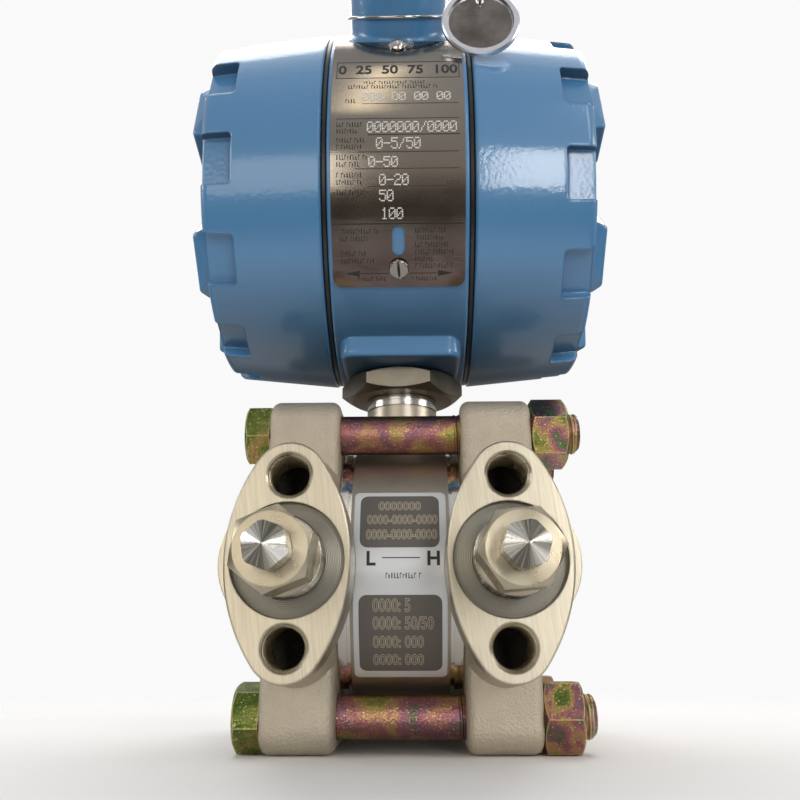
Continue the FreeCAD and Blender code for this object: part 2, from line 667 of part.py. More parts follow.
# ---- rear conduit plug, and the tag wired round the front entry ----
def conduitPlug():
    mouth = entryThreadRadius - threadClearance
    plug = turned([(0, entryFace - 12), (mouth - 1, entryFace - 12), (mouth, entryFace - 11),
                   (mouth, entryFace + 1.0), (mouth - 0.6, entryFace + 1.6), (0, entryFace + 1.6)])
    plug = plug.cut(hexBar(9.5, entryFace - 5, entryFace + 2))
    return placed(plug, drumCentre, radialDirection(-entryAngle), right)


def tagPlace():
    # the tag hangs upright, its lower edge just clear of the cover
    angle = math.radians(68)
    reach = drumRadius + tagGap
    low = drumHeight + reach * math.cos(angle)
    return V(tagX, -reach * math.sin(angle) - tagThick / 2, low + tagRadius)


def roundTag():
    half = tagThick / 2
    disc = turned([(0, -half), (tagRadius - 0.4, -half), (tagRadius, 0.4 - half),
                   (tagRadius, half - 0.4), (tagRadius - 0.4, half), (tagRadius - tagRim, half),
                   (tagRadius - tagRim - 0.3, tagWeb - half), (0, tagWeb - half)])
    hole = Part.makeCylinder(tagHole, 10, V(0, tagRadius - tagRim - tagHole - 0.6, -5))
    return placed(disc.cut(hole), tagPlace(), front, right)


def tagWire():
    axis = radialDirection(entryAngle)
    loopCentre = drumCentre + axis * (drumRadius + 5.0)
    loop = placed(Part.makeTorus(entryRadius + wireRadius + 0.05, wireRadius), loopCentre,
                  axis, right)
    hole = tagPlace() + V(0, 0, tagRadius - tagRim - tagHole - 0.6)
    eyeRadius = tagHole + tagRim + 0.9
    eyeCentre = hole + V(0, 0, eyeRadius - tagHole + wireRadius + 0.05)
    eye = placed(Part.makeTorus(eyeRadius, wireRadius), eyeCentre, right, up)
    start = loopCentre + right * (entryRadius + wireRadius)
    end = eyeCentre + V(0, 0, eyeRadius)
    # a half-turn of wire between the two rings
    middle = (start + end) / 2
    side = (end - start).normalize()
    rise = (up - side * up.dot(side)).normalize()
    reach = (end - start).Length / 2
    path = Part.Wire(Part.Arc(start, middle + rise * reach, end).toShape())
    ring = Part.Wire(Part.makeCircle(wireRadius, start, rise))
    tail = path.makePipeShell([ring], True, True)
    return loop.fuse([eye, tail])


# ---- inside the circuit side ----
def postPoints(z):
    for angle in postAngles:
        a = math.radians(angle)
        yield V(postCircle * math.cos(a), postCircle * math.sin(a), z)


def circuitBoard(place):
    board = rod(boardRadius, place - boardThick, place)
    for at in postPoints(place):
        board = board.cut(Part.makeCylinder(boardScrewRadius + 0.1, 10, at - V(0, 0, 5)))
    notch = Part.makeBox(12, 20, 10, V(-boardRadius - 2, -10, place - 5))
    return drumPart(board.cut(notch))


def boardSpacers():
    gap = boardPlaces[0] - boardThick - boardPlaces[1]
    spacer = hexBar(6.0, 0, gap).cut(rod(boardScrewRadius + 0.1, -1, gap + 1))
    spacers = []
    for at in postPoints(boardPlaces[1]):
        one = spacer.copy()
        one.translate(at)
        spacers.append(drumPart(one))
    return Part.makeCompound(spacers)


def boardScrews():
    outer = boardPlaces[1] - boardThick
    screw = rod(boardScrewRadius, outer - 0.2, boardPlaces[0]).fuse(rod(2.8, outer - 1.8, outer))
    screw = screw.cut(Part.makeBox(0.8, 8, 1, V(-0.4, -4, outer - 1.8)))
    screws = []
    for at in postPoints(0):
        one = screw.copy()
        one.translate(V(at.x, at.y, 0))
        screws.append(drumPart(one))
    return Part.makeCompound(screws)


def boardParts():
    # parts soldered to the outer face of the outer board
    face = boardPlaces[1] - boardThick
    solids = [Part.makeBox(18, 14, 6, V(-9, -22, face - 6)),
              Part.makeBox(10, 26, 4, V(14, -10, face - 4)),
              Part.makeBox(7, 7, 3, V(-14, 12, face - 3))]
    for x, y, radius, height in ((-22, -6, 4, 8), (-22, 6, 4, 8), (4, 20, 5, 6), (6, 4, 3, 7)):
        solids.append(Part.makeCylinder(radius, height, V(x, y, face - height)))
    return Part.makeCompound([drumPart(s) for s in solids])


# ---- inside the terminal side ----
def terminalBlock():
    block = rod(terminalBlockRadius, terminalSeat, terminalSeat + terminalBlockThick)
    block = block.makeFillet(1.5, edgesWhere(
        block, lambda e: e.BoundBox.ZMin > terminalSeat + 1 and e.Length > 20))
    for i in range(terminalCount + 1):
        y = (i - terminalCount / 2) * terminalPitch
        wall = Part.makeBox(22, 1.8, barrierHeight, V(-11, y - 0.9, terminalSeat + terminalBlockThick))
        block = block.fuse(wall)
    for y in terminalRow():
        block = block.cut(Part.makeCylinder(terminalScrewRadius + 0.1, 7,
                                            V(0, y, terminalSeat + terminalBlockThick - 6)))
    # legs that carry the block on the partition above the neck's pocket
    for x, y in ((26, 10), (26, -10)):
        block = block.fuse(Part.makeCylinder(4, terminalSeat - wallRight, V(x, y, wallRight)))
    return drumPart(block)


def terminalRow():
    return [(i - (terminalCount - 1) / 2) * terminalPitch for i in range(terminalCount)]


def terminalScrews():
    seat = terminalSeat + terminalBlockThick
    solids = []
    for y in terminalRow():
        head = rod(terminalHeadRadius, seat + 1.6, seat + 4.2).fuse(
            rod(terminalScrewRadius, seat - 5.5, seat + 2))
        head = head.cut(Part.makeBox(1.0, 12, 1.3, V(-0.5, -6, seat + 3.0)))
        head.translate(V(0, y, 0))
        solids.append(drumPart(head))
    return Part.makeCompound(solids)


def terminalPlates():
    seat = terminalSeat + terminalBlockThick
    solids = []
    for y in terminalRow():
        plate = Part.makeBox(18, 9.6, 1.5, V(-9, y - 4.8, seat))
        plate = plate.cut(Part.makeCylinder(terminalScrewRadius + 0.1, 9, V(0, y, seat - 4)))
        solids.append(drumPart(plate))
    return Part.makeCompound(solids)


def neckHeader():
    # glass-to-metal header that closes the neck, with its pins
    disc = rod(headerRadius, neckTop, neckTop + headerHeight).fuse(
        rod(neckBore - 0.05, neckTop - 3, neckTop + 0.5))
    for i in range(pinCount):
        a = math.radians(i * 360 / pinCount)
        disc = disc.fuse(Part.makeCylinder(0.6, 5, V(5 * math.cos(a), 5 * math.sin(a),
                                                     neckTop + headerHeight - 0.5)))
    return disc


os.makedirs("parts", exist_ok=True)

save("high_flange", flange(-1))
save("low_flange", flange(1))
save("high_process_seal", processSeal(-1))
save("low_process_seal", processSeal(1))
save("high_diaphragm", diaphragm(-1))
save("low_diaphragm", diaphragm(1))
save("sensor_module", sensorModule())
save("module_label", moduleLabel())
save("lock_nut", lockNut())
save("neck_header", neckHeader())
save("housing_body", housingBody())
save("circuit_cover", cover(-1))
save("terminal_cover", cover(1))
save("circuit_cover_seal", coverSeal(-1))
save("terminal_cover_seal", coverSeal(1))
save("nameplate", nameplate())
save("nameplate_dome_screw", domeScrew())
save("nameplate_slotted_screw", slottedScrew())
save("flange_bolts", flangeBolts())
save("flange_nuts", flangeNuts())
save("high_vent_body", ventBody(-1, leftVentTurn))
save("low_vent_body", ventBody(1, rightVentTurn))
save("high_vent_stem", ventStem(-1, leftStemTurn))
save("low_vent_stem", ventStem(1, rightStemTurn))
save("conduit_plug", conduitPlug())
save("round_tag", roundTag())
save("tag_wire", tagWire())
save("inner_board", circuitBoard(boardPlaces[0]))
save("outer_board", circuitBoard(boardPlaces[1]))
save("board_spacers", boardSpacers())
save("board_screws", boardScrews())
save("board_parts", boardParts())
save("terminal_block", terminalBlock())
save("terminal_plates", terminalPlates())
save("terminal_screws", terminalScrews())
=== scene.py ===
import bpy
import bmesh
import math
from mathutils import Matrix, Vector


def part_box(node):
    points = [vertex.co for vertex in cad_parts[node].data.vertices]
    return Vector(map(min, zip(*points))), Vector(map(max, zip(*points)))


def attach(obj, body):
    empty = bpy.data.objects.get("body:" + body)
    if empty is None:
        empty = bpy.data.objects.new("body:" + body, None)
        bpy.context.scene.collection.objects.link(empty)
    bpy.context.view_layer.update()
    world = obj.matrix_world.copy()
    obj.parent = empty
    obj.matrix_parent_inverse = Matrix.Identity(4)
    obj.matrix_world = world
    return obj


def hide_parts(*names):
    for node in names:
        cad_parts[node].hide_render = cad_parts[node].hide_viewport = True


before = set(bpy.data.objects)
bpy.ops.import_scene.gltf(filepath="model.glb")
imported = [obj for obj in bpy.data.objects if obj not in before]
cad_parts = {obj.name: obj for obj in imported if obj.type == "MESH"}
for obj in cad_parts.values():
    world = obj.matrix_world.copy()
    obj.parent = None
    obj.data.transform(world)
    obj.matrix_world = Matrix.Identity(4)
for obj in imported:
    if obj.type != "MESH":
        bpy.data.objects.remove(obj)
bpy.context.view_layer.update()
print("frame loaded")

mm = 0.001


def middle(node):
    low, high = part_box(node)
    return (Vector(low) + Vector(high)) / 2


# places worked out from the frame
neckY = middle("neck_header").y
drumCentre = Vector((0, neckY, middle("terminal_cover_seal").z))
moduleCentre = Vector((0, neckY, middle("high_diaphragm").z))
tappedSpread = 20.65 * mm  # from a port's axis to each tapped hole
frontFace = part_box("low_flange")[0][1]
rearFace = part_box("low_flange")[1][1]
portX = middle("low_vent_stem").x
portAxis = (portX, 0, moduleCentre.z)
sealSunk = 0.5 * mm  # how far the cover seals lie inside the drum's outside
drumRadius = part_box("terminal_cover_seal")[1][1] - neckY + sealSunk


# short ways to add shader nodes
def add(tree, kind, inputs=None, **settings):
    made = tree.nodes.new("ShaderNode" + kind)
    for key, value in settings.items():
        setattr(made, key, value)
    for key, value in (inputs or {}).items():
        if isinstance(value, bpy.types.NodeSocket):
            tree.links.new(value, made.inputs[key])
        else:
            made.inputs[key].default_value = value
    return made


def maths(tree, operation, a, b=0.0, clamp=False):
    return add(tree, "Math", {0: a, 1: b}, operation=operation, use_clamp=clamp).outputs[0]


def plus(tree, start, value, factor):
    return maths(tree, "ADD", start, maths(tree, "MULTIPLY", value, factor))


def feed(node, name, value):
    node.id_data.links.new(value, node.inputs[name])


def mixColour(tree, factor, a, b, blend="MIX"):
    made = add(tree, "Mix", data_type="RGBA", blend_type=blend)
    for index, value in ((0, factor), (6, a), (7, b)):
        if isinstance(value, bpy.types.NodeSocket):
            tree.links.new(value, made.inputs[index])
        else:
            made.inputs[index].default_value = value
    return made.outputs[2]


def ramp(tree, factor, stops):
    made = add(tree, "ValToRGB", {0: factor})
    elements = made.color_ramp.elements
    while len(elements) < len(stops):
        elements.new(0.5)
    for element, (place, colour) in zip(elements, stops):
        element.position = place
        element.color = (*colour, 1)
    return made.outputs[0]


def noise(tree, place, scale, detail, rough=0.5):
    inputs = {"Vector": place, "Scale": scale, "Detail": detail, "Roughness": rough}
    return add(tree, "TexNoise", inputs).outputs[0]


def newMaterial(name, **plain):
    material = bpy.data.materials.new(name)
    material.use_nodes = True
    tree = material.node_tree
    tree.nodes.clear()
    shader = add(tree, "BsdfPrincipled")
    add(tree, "OutputMaterial", {"Surface": shader.outputs[0]})
    for key, value in plain.items():
        shader.inputs[key.replace("_", " ")].default_value = value
    place = add(tree, "TexCoord").outputs["Object"]
    return material, tree, shader, place


def newGroup(name, inputs, outputs):
    group = bpy.data.node_groups.new(name, "ShaderNodeTree")
    kinds = {"value": "NodeSocketFloat", "vector": "NodeSocketVector", "colour": "NodeSocketColor"}
    for label, kind, value in inputs:
        group.interface.new_socket(label, in_out="INPUT", socket_type=kinds[kind]).default_value = value
    for label, kind in outputs:
        group.interface.new_socket(label, in_out="OUTPUT", socket_type=kinds[kind])
    return group, group.nodes.new("NodeGroupInput"), group.nodes.new("NodeGroupOutput")


def use(tree, group, **inputs):
    made = tree.nodes.new("ShaderNodeGroup")
    made.node_tree = group
    for key, value in inputs.items():
        if isinstance(value, bpy.types.NodeSocket):
            tree.links.new(value, made.inputs[key])
        else:
            made.inputs[key].default_value = value
    return made.outputs


def bumped(tree, height, strength, distance, below=None):
    inputs = {"Height": height, "Strength": strength, "Distance": distance}
    if below is not None:
        inputs["Normal"] = below
    return add(tree, "Bump", inputs).outputs[0]


# effects that several finishes share
def grainGroup():
    # fine shot-blasted or cast grain: a height and a slow change of shade
    group, start, end = newGroup("grain", [("Place", "vector", (0, 0, 0)), ("Scale", "value", 900.0)],
                                 [("Height", "value"), ("Shade", "value")])
    place, scale = start.outputs["Place"], start.outputs["Scale"]
    fine = noise(group, place, scale, 4.0, 0.7)
    cells = add(group, "TexVoronoi", {"Vector": place, "Scale": scale}, feature="F1")
    both = plus(group, fine, cells.outputs[0], 0.6)
    slow = noise(group, place, 70.0, 5.0, 0.62)
    feed(end, "Height", both)
    feed(end, "Shade", slow)
    return group


def ringsGroup():
    # rings left by a turning tool round an axis: Keep is 1 across the axis and 0 along it
    group, start, end = newGroup("turnedRings", [
        ("Place", "vector", (0, 0, 0)), ("Centre", "vector", (0, 0, 0)), ("Keep", "vector", (1, 0, 1)),
        ("Pitch", "value", 0.0003)], [("Height", "value"), ("Radius", "value"), ("Shade", "value")])
    off = add(group, "VectorMath", {0: start.outputs["Place"], 1: start.outputs["Centre"]},
              operation="SUBTRACT").outputs[0]
    flat = add(group, "VectorMath", {0: off, 1: start.outputs["Keep"]}, operation="MULTIPLY").outputs[0]
    radius = add(group, "VectorMath", {0: flat}, operation="LENGTH").outputs["Value"]
    turns = maths(group, "DIVIDE", radius, start.outputs["Pitch"])
    wave = maths(group, "SINE", maths(group, "MULTIPLY", turns, 2 * math.pi))
    uneven = add(group, "TexNoise", {"W": turns, "Scale": 0.37, "Detail": 3.0},
                 noise_dimensions="1D").outputs[0]
    feed(end, "Height", maths(group, "ADD", maths(group, "MULTIPLY", wave, 0.35), uneven))
    feed(end, "Radius", radius)
    feed(end, "Shade", uneven)
    return group


def brushedGroup():
    # straight grain: the place is stretched along the grain before the noise is read
    group, start, end = newGroup("brushed", [
        ("Place", "vector", (0, 0, 0)), ("Turn", "vector", (0, 0, 0)),
        ("Stretch", "vector", (4000, 4000, 60))], [("Height", "value"), ("Shade", "value")])
    turned = add(group, "VectorRotate", {"Vector": start.outputs["Place"],
                                         "Rotation": start.outputs["Turn"]}, rotation_type="EULER_XYZ")
    long = add(group, "VectorMath", {0: turned.outputs[0], 1: start.outputs["Stretch"]},
               operation="MULTIPLY").outputs[0]
    streaks = noise(group, long, 1.0, 3.0, 0.6)
    slow = noise(group, long, 0.12, 2.0)
    feed(end, "Height", streaks)
    feed(end, "Shade", slow)
    return group


def bandGroup():
    # 1 between Low and High of a value, 0 outside, with a soft edge
    group, start, end = newGroup("band", [("Value", "value", 0.0), ("Low", "value", 0.0),
                                          ("High", "value", 1.0), ("Soft", "value", 0.0002)],
                                 [("Mask", "value")])
    soft = start.outputs["Soft"]
    rise = maths(group, "DIVIDE", maths(group, "SUBTRACT", start.outputs["Value"],
                                        start.outputs["Low"]), soft, True)
    fall = maths(group, "DIVIDE", maths(group, "SUBTRACT", start.outputs["High"],
                                        start.outputs["Value"]), soft, True)
    feed(end, "Mask", maths(group, "MULTIPLY", rise, fall))
    return group


grain, rings, brushed, band = grainGroup(), ringsGroup(), brushedGroup(), bandGroup()
farOut = 1.0  # a band's open end lies this many metres off


def xyz(tree, place):
    return add(tree, "SeparateXYZ", {0: place}).outputs


def edgeMask(tree, reach, level=0.996, gain=22.0):
    # 1 on sharp edges, where a bevelled normal leaves the true one by about 5 degrees or more
    soft = add(tree, "Bevel", {"Radius": reach}, samples=6).outputs[0]
    true = add(tree, "NewGeometry").outputs["True Normal"]
    same = add(tree, "VectorMath", {0: soft, 1: true}, operation="DOT_PRODUCT").outputs["Value"]
    return maths(tree, "MULTIPLY", maths(tree, "SUBTRACT", level, same), gain, True)


# the last four settings are the painted shade on the paint that faces down: its colour, where it starts, how
# fast it rises and how much it dulls the coat
paintFinish = {"colour": (0.072, 0.250, 0.490), "deep": (0.058, 0.212, 0.430), "coat": 0.9,
               "peel": 760.0, "peelHeight": 0.13, "edge": 1.2 * mm,
               "speck": (0.30, 0.42, 0.52), "speckSize": 0.035, "speckShow": 0.35,
               "downShade": (0.020, 0.038, 0.060), "downShadeStart": -0.62, "downShadeRise": 2.4, "downShadeDull": 0.85}


def bluePaint():
    s = paintFinish
    material, tree, shader, place = newMaterial(
        "bluePaint", Roughness=0.40, Coat_Weight=s["coat"], Coat_Roughness=0.13, Coat_IOR=1.55)
    slow = noise(tree, place, 28.0, 4.0)
    colour = mixColour(tree, slow, (*s["deep"], 1), (*s["colour"], 1))
    peel = noise(tree, place, s["peel"], 1.5)
    fine = noise(tree, place, 2600.0, 2.0)
    specks = add(tree, "TexVoronoi", {"Vector": place, "Scale": 160.0}).outputs[0]
    speck = maths(tree, "LESS_THAN", specks, s["speckSize"])
    colour = mixColour(tree, maths(tree, "MULTIPLY", speck, s["speckShow"]), colour, (*s["speck"], 1))
    # painted shade: the paint that faces down is darkened in patches, and its coat is dulled there
    facing = xyz(tree, add(tree, "NewGeometry").outputs["Normal"])[2]
    downShade = maths(tree, "MULTIPLY", maths(tree, "SUBTRACT", s["downShadeStart"], facing), s["downShadeRise"], True)
    patches = maths(tree, "ADD", maths(tree, "MULTIPLY", slow, 0.5), 0.6, True)
    downShade = maths(tree, "MULTIPLY", downShade, patches)
    feed(shader, "Base Color", mixColour(tree, downShade, colour, (*s["downShade"], 1)))
    dulled = maths(tree, "MULTIPLY", downShade, s["downShadeDull"])
    feed(shader, "Coat Weight", maths(tree, "SUBTRACT", s["coat"], dulled))
    height = plus(tree, peel, fine, 0.06)
    soft = add(tree, "Bevel", {"Radius": s["edge"]}, samples=6).outputs[0]
    normal = bumped(tree, height, s["peelHeight"], 0.0003, soft)
    feed(shader, "Normal", normal)
    feed(shader, "Coat Normal", normal)
    return material


def blackRubber():
    material, tree, shader, place = newMaterial("blackRubber", Roughness=0.28, Specular_IOR_Level=0.6)
    dust = noise(tree, place, 900.0, 4.0)
    stops = [(0.0, (0.006, 0.006, 0.007)), (0.62, (0.010, 0.010, 0.011)), (0.8, (0.05, 0.05, 0.05))]
    feed(shader, "Base Color", ramp(tree, dust, stops))
    feed(shader, "Normal", bumped(tree, dust, 0.1, 0.0002))
    return material


flangeFinish = {"cast": (0.66, 0.59, 0.47), "castDark": (0.44, 0.39, 0.31),
                "castMetal": 0.86, "castRough": 0.56, "machinedSmooth": 0.22, "spotSmooth": 0.04,
                "castBump": 0.8, "grainBump": 0.32, "ringBump": 0.5,
                "machined": (0.65, 0.59, 0.465), "machinedDark": (0.42, 0.375, 0.29),
                "padDepth": 15.9 * mm, "faceDepth": 0.7 * mm,
                "spot": (0.27, 0.26, 0.21), "spotDark": (0.20, 0.185, 0.165),
                "spotRadius": 14.05 * mm, "spotDepth": 2.6 * mm,
                # the hole settings paint shade into the tapped holes, darker further in
                "holeRadius": 5.7 * mm, "holeShadeColour": (0.030, 0.027, 0.023), "holeShade": 0.94,
                "holeStart": 1.0 * mm, "holeFade": 15.0 * mm}


def flangeSteel():
    # cast flange with ground connection faces, ringed spotfaces, and painted shade in the holes that deepens
    # inwards
    s = flangeFinish
    material, tree, shader, place = newMaterial("flangeSteel")
    x, y, z = xyz(tree, place)
    depth = maths(tree, "ABSOLUTE", maths(tree, "SUBTRACT", y, neckY))
    reach = (rearFace - frontFace) / 2
    machined = use(tree, band, Value=depth, Low=reach - s["padDepth"], High=reach + farOut,
                   Soft=0.0006)["Mask"]
    face = use(tree, band, Value=depth, Low=reach - s["faceDepth"], High=reach + farOut,
               Soft=0.0002)["Mask"]
    across = add(tree, "CombineXYZ", {0: maths(tree, "ABSOLUTE", x), 1: y, 2: z}).outputs[0]
    cast = use(tree, grain, Place=place, Scale=1500.0)
    turned = use(tree, rings, Place=across, Centre=portAxis, Pitch=0.00042)
    spot = use(tree, band, Value=turned["Radius"], Low=-farOut, High=s["spotRadius"], Soft=0.0001)["Mask"]
    shallow = use(tree, band, Value=depth, Low=reach - s["spotDepth"], High=reach + farOut,
                  Soft=0.0001)["Mask"]
    spot = maths(tree, "MULTIPLY", spot, shallow)
    grainUp = use(tree, brushed, Place=place, Turn=(0, 0.12, 0), Stretch=(3400, 500, 70))
    # both sides and both holes of a side are folded onto one
    lift = maths(tree, "ABSOLUTE", maths(tree, "SUBTRACT", z, moduleCentre.z))
    folded = add(tree, "CombineXYZ", {0: maths(tree, "ABSOLUTE", x), 2: lift}).outputs[0]
    hole = use(tree, rings, Place=folded, Centre=(portX, 0, tappedSpread), Pitch=0.00042)
    hole = use(tree, band, Value=hole["Radius"], Low=-farOut, High=s["holeRadius"], Soft=0.0001)["Mask"]
    # painted shade in the tapped holes, growing darker from the mouth inwards
    sunk = maths(tree, "DIVIDE", maths(tree, "SUBTRACT", reach - s["holeStart"], depth), s["holeFade"], True)
    hole = maths(tree, "MULTIPLY", hole, maths(tree, "POWER", sunk, 0.6))
    castColour = mixColour(tree, cast["Shade"], (*s["castDark"], 1), (*s["cast"], 1))
    streaks = maths(tree, "ADD", maths(tree, "MULTIPLY", grainUp["Height"], 1.5), -0.25, True)
    machinedColour = mixColour(tree, streaks, (*s["machinedDark"], 1), (*s["machined"], 1))
    spotColour = mixColour(tree, turned["Shade"], (*s["spotDark"], 1), (*s["spot"], 1))
    colour = mixColour(tree, machined, castColour, machinedColour)
    colour = mixColour(tree, spot, colour, spotColour)
    # the painted hole shade goes into the colour here
    colour = mixColour(tree, maths(tree, "MULTIPLY", hole, s["holeShade"]), colour, (*s["holeShadeColour"], 1))
    feed(shader, "Base Color", colour)
    feed(shader, "Metallic", plus(tree, s["castMetal"], machined, 1 - s["castMetal"]))
    smooth = plus(tree, maths(tree, "MULTIPLY", machined, s["machinedSmooth"]), spot, s["spotSmooth"])
    rough = maths(tree, "SUBTRACT", s["castRough"], smooth)
    feed(shader, "Roughness", plus(tree, rough, grainUp["Shade"], 0.08))
    soft = add(tree, "Bevel", {"Radius": 0.0005}, samples=4).outputs[0]
    castPart = maths(tree, "SUBTRACT", 1.0, machined)
    normal = bumped(tree, maths(tree, "MULTIPLY", cast["Height"], castPart), s["castBump"], 0.0003, soft)
    onFace = maths(tree, "MULTIPLY", grainUp["Height"], maths(tree, "SUBTRACT", face, spot, True))
    normal = bumped(tree, onFace, s["grainBump"], 0.00009, normal)
    normal = bumped(tree, maths(tree, "MULTIPLY", turned["Height"], spot), s["ringBump"], 0.0001, normal)
    feed(shader, "Normal", normal)
    return material


moduleFinish = {"band": (0.47, 0.42, 0.35), "bandDark": (0.33, 0.29, 0.235), "bandHalf": 13.1 * mm,
                "mirror": (0.66, 0.64, 0.60), "neck": (0.56, 0.50, 0.42), "neckDark": (0.36, 0.31, 0.25),
                "neckHeight": 38.6 * mm, "collar": (0.64, 0.62, 0.58), "collarHeight": 51.25 * mm,
                "mirrorRough": 0.10, "bandRough": 0.44, "neckRough": 0.34, "collarRough": 0.14}


def moduleSteel():
    # blasted middle band, polished shoulders, turned neck with a bright collar
    s = moduleFinish
    material, tree, shader, place = newMaterial("moduleSteel", Metallic=1.0)
    x, _, z = xyz(tree, place)
    cast = use(tree, grain, Place=place, Scale=1700.0)
    middleBand = use(tree, band, Value=maths(tree, "ABSOLUTE", x), Low=-farOut, High=s["bandHalf"],
                     Soft=0.00008)["Mask"]
    collar = use(tree, band, Value=z, Low=moduleCentre.z + s["collarHeight"], High=farOut,
                 Soft=0.0001)["Mask"]
    neck = use(tree, band, Value=z, Low=moduleCentre.z + s["neckHeight"], High=farOut, Soft=0.0006)["Mask"]
    turned = use(tree, brushed, Place=place, Stretch=(40, 40, 9000))
    ringed = use(tree, brushed, Place=place, Stretch=(9000, 30, 30))
    colour = mixColour(tree, middleBand, (*s["mirror"], 1),
                       mixColour(tree, cast["Shade"], (*s["bandDark"], 1), (*s["band"], 1)))
    neckColour = mixColour(tree, turned["Height"], (*s["neckDark"], 1), (*s["neck"], 1))
    neckColour = mixColour(tree, collar, neckColour, (*s["collar"], 1))
    feed(shader, "Base Color", mixColour(tree, neck, colour, neckColour))
    rough = plus(tree, s["mirrorRough"], middleBand, s["bandRough"] - s["mirrorRough"])
    satin = plus(tree, s["neckRough"], collar, s["collarRough"] - s["neckRough"])
    feed(shader, "Roughness", add(tree, "Mix", {0: neck, 2: rough, 3: satin}).outputs[0])
    notNeck = maths(tree, "SUBTRACT", 1.0, neck)
    plainBand = maths(tree, "MULTIPLY", middleBand, notNeck)
    normal = bumped(tree, maths(tree, "MULTIPLY", cast["Height"], plainBand), 0.35, 0.00018)
    normal = bumped(tree, maths(tree, "MULTIPLY", turned["Height"], neck), 0.25, 0.00008, normal)
    shoulder = maths(tree, "MULTIPLY", maths(tree, "SUBTRACT", 1.0, middleBand), notNeck)
    normal = bumped(tree, maths(tree, "MULTIPLY", ringed["Height"], shoulder), 0.12, 0.00005, normal)
    feed(shader, "Normal", normal)
    return material


def turnedSteel(name, colour, centre, keep, pitch, rough, strength=0.35, warm=(0.42, 0.35, 0.25)):
    # bar stock turned on a lathe; its flats show a light cross grain
    material, tree, shader, place = newMaterial(name, Metallic=1.0)
    x, y, z = xyz(tree, place)
    across = add(tree, "CombineXYZ", {0: maths(tree, "ABSOLUTE", x), 1: y, 2: z}).outputs[0]
    turned = use(tree, rings, Place=across, Centre=centre, Keep=keep, Pitch=pitch)
    flats = use(tree, brushed, Place=place, Stretch=(500, 5200, 500))
    smear = noise(tree, place, 160.0, 4.0)
    shade = mixColour(tree, smear, (*warm, 1), (*colour, 1))
    feed(shader, "Base Color", shade)
    feed(shader, "Roughness", plus(tree, rough - 0.08, smear, 0.18))
    soft = add(tree, "Bevel", {"Radius": 0.0003}, samples=4).outputs[0]
    normal = bumped(tree, turned["Height"], strength, 0.00005, soft)
    normal = bumped(tree, flats["Height"], 0.10, 0.00005, normal)
    feed(shader, "Normal", normal)
    return material


def polishedSteel(name, colour=(0.62, 0.60, 0.57), rough=0.12, worn=0.82):
    # bright steel with smears and fine scratches, worn being how dark the smears are
    material, tree, shader, place = newMaterial(name, Metallic=1.0)
    lines = use(tree, brushed, Place=place, Stretch=(200, 200, 6500))
    smear = noise(tree, place, 120.0, 5.0)
    feed(shader, "Base Color", mixColour(tree, smear, (*[c * worn for c in colour], 1), (*colour, 1)))
    feed(shader, "Roughness", plus(tree, rough, smear, 0.10))
    feed(shader, "Normal", bumped(tree, lines["Height"], 0.10, 0.00004))
    return material


zincFinish = {"stops": [(0.20, (0.060, 0.105, 0.022)), (0.36, (0.16, 0.20, 0.050)),
                        (0.46, (0.34, 0.27, 0.085)), (0.54, (0.40, 0.235, 0.125)),
                        (0.62, (0.34, 0.140, 0.135)), (0.72, (0.235, 0.115, 0.150)),
                        (0.84, (0.10, 0.15, 0.055))],
              "hue": 0.60, "drift": 1.1, "speckle": 0.16, "nutDrift": 1.3, "headGreen": 0.26,
              "gold": (0.62, 0.50, 0.22), "fleck": 0.30, "fleckFrom": 0.53, "fleckShow": 0.75,
              # the edge setting is the painted highlight along the hexagons' edges
              "wornFrom": 0.64, "wornShow": 0.5, "edgeGlint": 0.9, "hexStart": 35.0 * mm}


